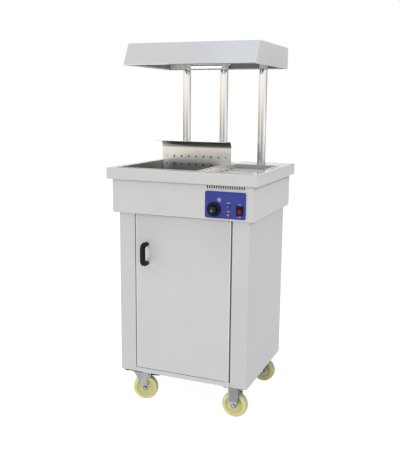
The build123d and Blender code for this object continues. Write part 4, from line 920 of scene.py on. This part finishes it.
def pilot_lens(name, lens, z, glow):
    """Lens colour inside the bezel's ring, black outside it."""
    material, start, shader = open_finish(name, {"Emission Strength": glow, "Coat Weight": 0.4})
    out = from_axle(start, (lamp_x, 0, z), (0, 1, 0))
    facets = texture(start, "ShaderNodeTexVoronoi", 900)
    inside = out.rise(LENS_OUTSIDE * lens_radius, LENS_INSIDE * lens_radius)
    deep = tuple(0.45 * part for part in lens)
    inside.mix(BEZEL, facets.rise(0.0, 0.8).mix(lens, deep)).feed(shader, "Base Color")
    inside.mix((0, 0, 0), lens).feed(shader, "Emission Color")
    (0.35 - 0.2 * inside).feed(shader, "Roughness")
    relief(shader, facets, 0.25, 0.0004)
    return material


dress(pilot_lens("green_lens", GREEN_LENS, green_z, 0.15), "green_pilot_light")
dress(pilot_lens("orange_lens", ORANGE_LENS, orange_z, 0.35), "orange_pilot_light")

# Rocker switch: a black snap-in housing and a black rocker that tips on two pins, with a ribbed red lens
# let into the lower half of its face, darker towards its top and right.
LENS_HALF_WIDTH = 0.0080
LENS_TOP = 0.0062
LENS_BOTTOM = -0.0125
LENS_CORNER = 0.0055
RED_DARK = (0.26, 0.003, 0.008)
RED_LIGHT = (0.46, 0.008, 0.018)
RED_SHADE = (0.05, 0.002, 0.006)
ROCKER_DARK = (0.004, 0.005, 0.012)
ROCKER_LIGHT = (0.010, 0.011, 0.024)

rocker_finish, start, shader = open_finish("rocker_finish", {"Specular IOR Level": 0.12})
spot = start.spot()
sideways = spot[0] - switch_x
height = spot[2] - switch_z
lens_middle = (LENS_TOP + LENS_BOTTOM) / 2
lens_half = (LENS_TOP - LENS_BOTTOM) / 2
past_x = start.maths("MAXIMUM", abs(sideways) - (LENS_HALF_WIDTH - LENS_CORNER), 0.0)
past_z = start.maths("MAXIMUM", abs(height - lens_middle) - (lens_half - LENS_CORNER), 0.0)
lens = ((past_x ** 2.0 + past_z ** 2.0) ** 0.5).rise(LENS_CORNER, LENS_CORNER - 0.0006)
stipple = noise(start, 1400, 3.0)
ribs = noise(start, (60, 60, 320), 1.0)
shaded = start.maths("MAXIMUM", sideways.rise(0.0, 0.008), height.rise(-0.002, 0.006))
red = (0.75 * shaded).mix(ribs.mix(RED_DARK, RED_LIGHT), RED_SHADE)
lens.mix(stipple.mix(ROCKER_DARK, ROCKER_LIGHT), red).feed(shader, "Base Color")
(0.38 - 0.2 * lens).feed(shader, "Roughness")
relief(shader, lens + 0.1 * stipple, 0.5, 0.0006)
dress(rocker_finish, "switch_rocker")
dress(black_moulding, "switch_housing")

# Worktop: a folded satin sheet with a deep turned-down rim and two cut-outs, dropped over the housing. Its
# flat top is wiped to a polish and painted darker at the back right as shade, and the rim's ends are painted
# lighter as lit. The two wells hang in it by narrow flanges, with a dark line along them that is both a bead
# of sealant and a painted shadow at the flanges' edges. Their walls are a darker grey than the top, with each
# left wall painted lighter as lit; the chip well is painted dark as shade behind the plate and low on its
# front wall, and light behind the plate's two ends.
WELL_DARK = (0.36, 0.36, 0.36)
WELL_LIGHT = (0.48, 0.48, 0.475)
LIT_WELL_SIDE = (0.66, 0.66, 0.655)
BEHIND_PLATE_LIGHT = (0.95, 0.95, 0.93)
UNLIT = (0.06, 0.06, 0.064)
SHADE_LEFT = (0.030, 0.040)
SHADE_RIGHT = (0.070, 0.080)
RACK_WELL_DARK = (0.45, 0.455, 0.46)
RACK_WELL_LIGHT = (0.59, 0.595, 0.60)
LIT_RACK_WELL_SIDE = (0.96, 0.98, 0.99)
WELL_FLANGE = 0.010
WIPED = (0.82, 0.815, 0.82)
WIPED_ROUGHNESS = 0.08
WIPED_METALLIC = 0.9
TOP_METALLIC = 0.35
CHIP_METALLIC = 0.9
RACK_METALLIC = 0.6
BACK_RIGHT_SHADE = (0.36, 0.365, 0.37)
LIT_RIM_END = (0.74, 0.74, 0.74)
JOINT_AND_SHADOW = (0.05, 0.05, 0.06)
JOINT_WIDTH = 0.0035

rim_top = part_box("worktop")[1][2]
plate_low, plate_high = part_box("perforated_insert")
plate_back = plate_high[1]
well_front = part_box("rack_well")[0][1] + WELL_FLANGE


def on_top(normal, place):
    """Share of the faces that lie in the worktop's plane."""
    return place[2].rise(rim_top - 0.002, rim_top - 0.0004) * normal[2].rise(0.5, 0.9)


def rubbed_dull(normal, place):
    """Share of the worktop's plane at the back right, painted darker as shade."""
    return on_top(normal, place) * place[0].rise(0.07, 0.11) * place[1].rise(-0.16, -0.06)


def joint_line(normal, place):
    """Share of the worktop that is a dark line along the wells' flanges: a bead of sealant and a painted
    shadow at their edges.
    """
    beads = []
    for name in ("chip_well", "rack_well"):
        (x, half_x), (y, half_y) = [span(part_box(name), axis) for axis in (0, 1)]
        past = place[0].maths("MAXIMUM", abs(place[0] - x) - half_x, abs(place[1] - y) - half_y)
        beads.append(past.rise(JOINT_WIDTH, JOINT_WIDTH - 0.001))
    return on_top(normal, place) * place[0].maths("MAXIMUM", *beads)


def in_shade(place):
    """Share of the plate's length, less its two ends, where no light gets behind it."""
    return (place[0].rise(*[plate_low[0] + inset for inset in SHADE_LEFT])
            * place[0].rise(*[plate_high[0] - inset for inset in SHADE_RIGHT]))


def behind_plate(normal, place):
    """Share of the chip well's rear wall, which the plate hides."""
    return place[1].rise(plate_back + 0.0005, plate_back + 0.003) * normal[1].rise(-0.5, -0.8)


def unlit(normal, place):
    """Share of the chip well that gets no light: behind the plate and low on the front wall."""
    front = place[1].rise(well_front, well_front - 0.0005) * place[2].rise(rim_top - 0.018, rim_top - 0.035)
    return behind_plate(normal, place) * in_shade(place) + front


def left_wall(normal, place):
    """Share of a well's left wall, painted lighter as lit."""
    return normal[0].rise(0.6, 0.9)


top_sheet = sheet_steel("worktop_steel", SHEET_DARK, SHEET_LIGHT, LEVEL_GRAIN, TOP_METALLIC)
chip_sheet = sheet_steel("chip_well_steel", WELL_DARK, WELL_LIGHT, LEVEL_GRAIN, CHIP_METALLIC, 0.30)
rack_sheet = sheet_steel("rack_well_steel", RACK_WELL_DARK, RACK_WELL_LIGHT, LEVEL_GRAIN, RACK_METALLIC, 0.30)
# in each sheet the top is wiped to a polish and its back right is painted darker as shade
for sheet, metallic in ((top_sheet, TOP_METALLIC), (chip_sheet, CHIP_METALLIC), (rack_sheet, RACK_METALLIC)):
    wiped, shader = recolour(sheet, WIPED, on_top)
    recolour(sheet, BACK_RIGHT_SHADE, rubbed_dull)
    rough = Signal(sheet.node_tree, shader.inputs["Roughness"].links[0].from_socket)
    (rough - wiped * (rough - WIPED_ROUGHNESS)).feed(shader, "Roughness")
    (metallic + (WIPED_METALLIC - metallic) * wiped).feed(shader, "Metallic")
# the rim's ends are painted lighter as lit
recolour(top_sheet, LIT_RIM_END, lambda normal, place: abs(normal[0]).rise(0.8, 0.95))
# a dark line along the wells' flanges, both a bead of sealant and a painted shadow
recolour(top_sheet, JOINT_AND_SHADOW, joint_line)
# the rear wall behind the plate is painted light as lit, where it shows through the holes at the plate's ends
recolour(chip_sheet, BEHIND_PLATE_LIGHT, behind_plate)
recolour(chip_sheet, UNLIT, unlit)
# each well's left wall is painted lighter as lit
recolour(chip_sheet, LIT_WELL_SIDE, left_wall)
recolour(rack_sheet, LIT_RACK_WELL_SIDE, left_wall)
dress(top_sheet, "worktop")
dress(chip_sheet, "chip_well")
dress(rack_sheet, "rack_well")

# Perforated plate: polished stainless sheet, punched, folded and lifted in by hand. It is warmer in tone
# than the worktop and is painted darker below the rim as shade; its ends are painted light as lit, the lip
# rolled along its top is painted dark bluish as shade and dark reflection, and the punched edges of the
# holes in its upright back are painted dark as shade.
PLATE_UNSHADED = (1.0, 0.98, 0.975)
PLATE_SHADED = (0.225, 0.234, 0.25)
PLATE_METALLIC = 0.7
SMEAR = (0.42, 0.40, 0.37)
LIT_ENDS_TONE = (1.0, 0.97, 0.93)
TRAY = (0.46, 0.46, 0.455)
LIP_SHADE = (0.058, 0.070, 0.090)
LIP_BEND = 0.031
HOLE_SHADE = (0.01, 0.01, 0.011)

lip_start = plate_high[2] - LIP_BEND


def polished_steel(name, lit_tone, shade_tone, low, high, metallic):
    """Polished sheet that goes from a painted shade tone low down to the lit tone higher up, between two
    heights.
    """
    material, start, shader = open_finish(name, {"Metallic": metallic})
    scratches = noise(start, LEVEL_GRAIN, 4.0, 0.65)
    smears = noise(start, 16, 4.0)
    # painted shade: darker low down, lighter higher up
    lit_share = (start.spot()[2] + 0.03 * (smears - 0.5)).rise(low, high)
    (0.15 * smears).mix(lit_share.mix(shade_tone, lit_tone), SMEAR).feed(shader, "Base Color")
    (0.32 - 0.12 * lit_share + 0.06 * scratches).feed(shader, "Roughness")
    relief(shader, scratches, 0.02, 0.0002)
    return material


def scoured_ends(normal, place):
    """Share of the plate's right part and of its left end, near the rim, painted light as lit."""
    right = place[0].rise(-0.03, 0.04) * place[2].rise(rim_top - 0.045, rim_top - 0.02)
    left = (place[0].rise(plate_low[0] + 0.06, plate_low[0] + 0.01)
            * place[2].rise(rim_top - 0.07, rim_top - 0.01))
    return (right + 0.6 * left) * place[2].rise(rim_top + 0.060, rim_top + 0.025)


def blued_lip(normal, place):
    """Share of the lip's face painted dark bluish as shade and dark reflection, strongest at its top and
    fainter at its left end.
    """
    from_end = 0.7 + 0.23 * place[0].rise(plate_low[0], plate_low[0] + 0.05)
    upward = 0.68 + 0.32 * place[2].rise(lip_start, lip_start + 0.018)
    on_lip = normal[2].rise(0.35, 0.1) * place[2].rise(lip_start - 0.003, lip_start + 0.003)
    return from_end * upward * on_lip


def hole_edge(normal, place):
    """Share of the punched edges of the holes in the plate's upright back, painted dark as shade."""
    within = (place[1].rise(plate_back - 0.003, plate_back - 0.002)
              * place[2].rise(lip_start, lip_start - 0.004))
    return abs(normal[1]).rise(0.6, 0.4) * within * in_shade(place)


plate_steel = polished_steel(
    "plate_steel", PLATE_UNSHADED, PLATE_SHADED, rim_top - 0.022, rim_top + 0.017, PLATE_METALLIC)
# the plate's ends are painted light as lit
lit_ends_share, shader = recolour(plate_steel, LIT_ENDS_TONE, scoured_ends)
(PLATE_METALLIC - 0.5 * lit_ends_share).feed(shader, "Metallic")
# the lip is painted dark bluish as shade and dark reflection
recolour(plate_steel, LIP_SHADE, blued_lip)
recolour(plate_steel, TRAY,
         lambda normal, place: 0.8 * normal[2].rise(0.7, 0.9) * place[2].rise(rim_top, rim_top - 0.02))
# the edges of the holes are painted dark as shade
recolour(plate_steel, HOLE_SHADE, hole_edge)
dress(plate_steel, "perforated_insert")

# Stepped rack for cartons: polished stainless sheet, folded into steps and set into the right well by
# hand. It is painted darker low down as shade, its risers are painted darker than its treads as shade, and
# its left edge is painted dark as the shadow in the gap to the well's wall.
RACK_UNSHADED = (0.92, 0.90, 0.88)
RACK_SHADED = (0.82, 0.80, 0.78)
RISER_SHADE = (0.46, 0.44, 0.42)
RACK_EDGE_SHADOW = (0.10, 0.11, 0.12)

rack_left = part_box("carton_rack")[0][0]
rack_steel = polished_steel("rack_steel", RACK_UNSHADED, RACK_SHADED, rim_top - 0.06, rim_top - 0.02, 0.45)
# the risers are painted darker than the treads as shade
recolour(rack_steel, RISER_SHADE, lambda normal, place: abs(normal[1]).rise(0.6, 0.8))
# the rack's left edge is painted dark as the shadow in the gap to the wall
recolour(rack_steel, RACK_EDGE_SHADOW,
         lambda normal, place: 0.8 * place[0].rise(rack_left + 0.008, rack_left + 0.005))
dress(rack_steel, "carton_rack")

# Heating and wiring in the housing: a bent tubular element on two clamps under the chip well, the
# thermostat, and a ceramic block where the cord ends.
CERAMIC_DARK = (0.62, 0.60, 0.56)
CERAMIC_LIGHT = (0.80, 0.79, 0.76)

ceramic, start, shader = open_finish("glazed_ceramic", {"Coat Weight": 0.3})
speckle = noise(start, 500, 3.0)
speckle.mix(CERAMIC_DARK, CERAMIC_LIGHT).feed(shader, "Base Color")
(0.35 + 0.2 * speckle).feed(shader, "Roughness")
dress(ceramic, "terminal_block")
dress(black_moulding, "thermostat")
dress(plain_steel, "heating_element", "element_clamps")

# Posts: three drawn tubes, chromium plated and polished, with only a trace of waviness. Studs through
# their plugged ends clamp them between the worktop and a channel in the hood. Their feet are darker and
# rougher, and their heads, inside the hood, are less metallic.
CHROME = (0.85, 0.84, 0.83)
CHROME_FOOT = (0.58, 0.59, 0.61)
FOOT_FADE = (0.16, 0.03)
HEAD_FADE = (-0.002, 0.004)

hood_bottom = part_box("hood_cover")[0][2]
chrome, start, shader = open_finish("chrome_plate", {})
height = start.spot()[2]
foot = (height - rim_top).rise(*FOOT_FADE)
head = (height - hood_bottom).rise(*HEAD_FADE)
waves = noise(start, (60, 60, 4), 2.0)
foot.mix(CHROME, CHROME_FOOT).feed(shader, "Base Color")
(1.0 - 0.85 * head).feed(shader, "Metallic")
(0.03 + 0.05 * waves + 0.16 * foot).feed(shader, "Roughness")
relief(shader, waves, 0.02, 0.0004)
dress(chrome, "left_post", "centre_post", "right_post")
dress(plain_steel, "post_studs", "post_nuts", "post_channel")

# Hood: a cover of satin sheet with a sloping front and two flat ends, open underneath. The ends are painted
# lighter than the cover, as lit. The inside is painted dark grey as shade, all but the back's left part,
# which is painted light as lit, and the turned hem, which is lighter; the front is bluer over its right part.
LIT_END_DARK = (0.69, 0.69, 0.69)
LIT_END_LIGHT = (0.80, 0.80, 0.80)
INSIDE_SHADE = (0.26, 0.245, 0.265)
INSIDE_SHADE_SHARE = 0.92
BLUE_TINT_FAINT = (0.607, 0.620, 0.661)
BLUE_TINT_STRONG = (0.655, 0.680, 0.720)
LIT_BACK_INSIDE = (0.96, 0.96, 0.93)
HEM = (1.0, 1.0, 0.99)
HEM_FADE = (0.0065, 0.0045)


def film_from(low, high):
    """Share of the bluish tint over the cover's front and top, which begins between two places."""
    return lambda normal, place: place[0].rise(low, high) * normal[2].rise(0.1, 0.2)


def back_inside(normal):
    """Share of the inner face of the cover's back."""
    return normal[1].rise(-0.6, -0.8) * normal[2].rise(0.2, 0.1)


def cover_dulled(normal, place):
    """Share of the cover's inside that is painted dark as shade, less the left part of its back."""
    return INSIDE_SHADE_SHARE * (normal[2].rise(-0.1, -0.2) + back_inside(normal) * place[0].rise(-0.10, 0.0))


def end_inside(normal, place):
    """Share of the ends' inner faces."""
    return (normal[0] * place[0]).rise(-0.01, -0.05)


def hem(place):
    """Share of the turned hem along the hood's lower edges, which is lighter."""
    return (place[2] - hood_bottom).rise(*HEM_FADE)


def back_hem(normal, place):
    """Share of the hem along the cover's back."""
    return hem(place) * normal[1].rise(-0.6, -0.8) * place[1].rise(0.0, 0.05)


cover_sheet = sheet_steel("hood_cover_steel", SHEET_DARK, SHEET_LIGHT, LEVEL_GRAIN)
recolour(cover_sheet, BLUE_TINT_FAINT, film_from(-0.006, 0.014))
recolour(cover_sheet, BLUE_TINT_STRONG, film_from(0.0, 0.24))
# the cover's inside is painted dark grey as shade
recolour(cover_sheet, INSIDE_SHADE, cover_dulled)
# the left part of the back's inner face is painted light as lit
recolour(cover_sheet, LIT_BACK_INSIDE,
         lambda normal, place: back_inside(normal) * place[0].rise(-0.08, -0.10))
recolour(cover_sheet, HEM, back_hem)
# the ends' sheet is painted lighter than the cover's, as lit
end_sheet = sheet_steel("hood_end_steel", LIT_END_DARK, LIT_END_LIGHT, LEVEL_GRAIN)
# the ends' inner faces are painted dark grey as shade
recolour(end_sheet, INSIDE_SHADE, lambda normal, place: INSIDE_SHADE_SHARE * end_inside(normal, place))
recolour(end_sheet, HEM, lambda normal, place: hem(place) * end_inside(normal, place))
dress(cover_sheet, "hood_cover")
dress(end_sheet, "hood_ends")

# Heat lamp: a short frosted tube, lit, in two ceramic holders on brackets, under a pressed reflector of
# bright sheet. The tube's upper side is dark with soot.
GLASS_DARK = (0.80, 0.79, 0.80)
GLASS = (0.92, 0.90, 0.92)
GLOW_DARK = (0.88, 0.87, 0.88)
GLOW = (1.0, 0.985, 1.0)
SOOT = (0.09, 0.08, 0.11)
SOOT_LOW = 0.3
SOOT_HIGH = 0.6
REFLECTOR_DARK = (0.78, 0.78, 0.76)
REFLECTOR_LIGHT = (0.92, 0.92, 0.90)

tube_z, tube_radius = span(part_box("heat_lamp"), 2)
lamp_glass, start, shader = open_finish("frosted_tube", {"Emission Strength": 0.7})
frost = noise(start, 300, 3.0)
crown = (start.spot()[2] - tube_z).rise(SOOT_LOW * tube_radius, SOOT_HIGH * tube_radius)
crown.mix(frost.mix(GLASS_DARK, GLASS), SOOT).feed(shader, "Base Color")
crown.mix(frost.mix(GLOW_DARK, GLOW), (0, 0, 0)).feed(shader, "Emission Color")
(0.3 + 0.2 * frost).feed(shader, "Roughness")
bright_sheet = sheet_steel("reflector_sheet", REFLECTOR_DARK, REFLECTOR_LIGHT, LEVEL_GRAIN, 0.5, 0.26)
dress(lamp_glass, "heat_lamp")
dress(ceramic, "lamp_holders")
dress(bright_sheet, "lamp_brackets", "lamp_reflector")
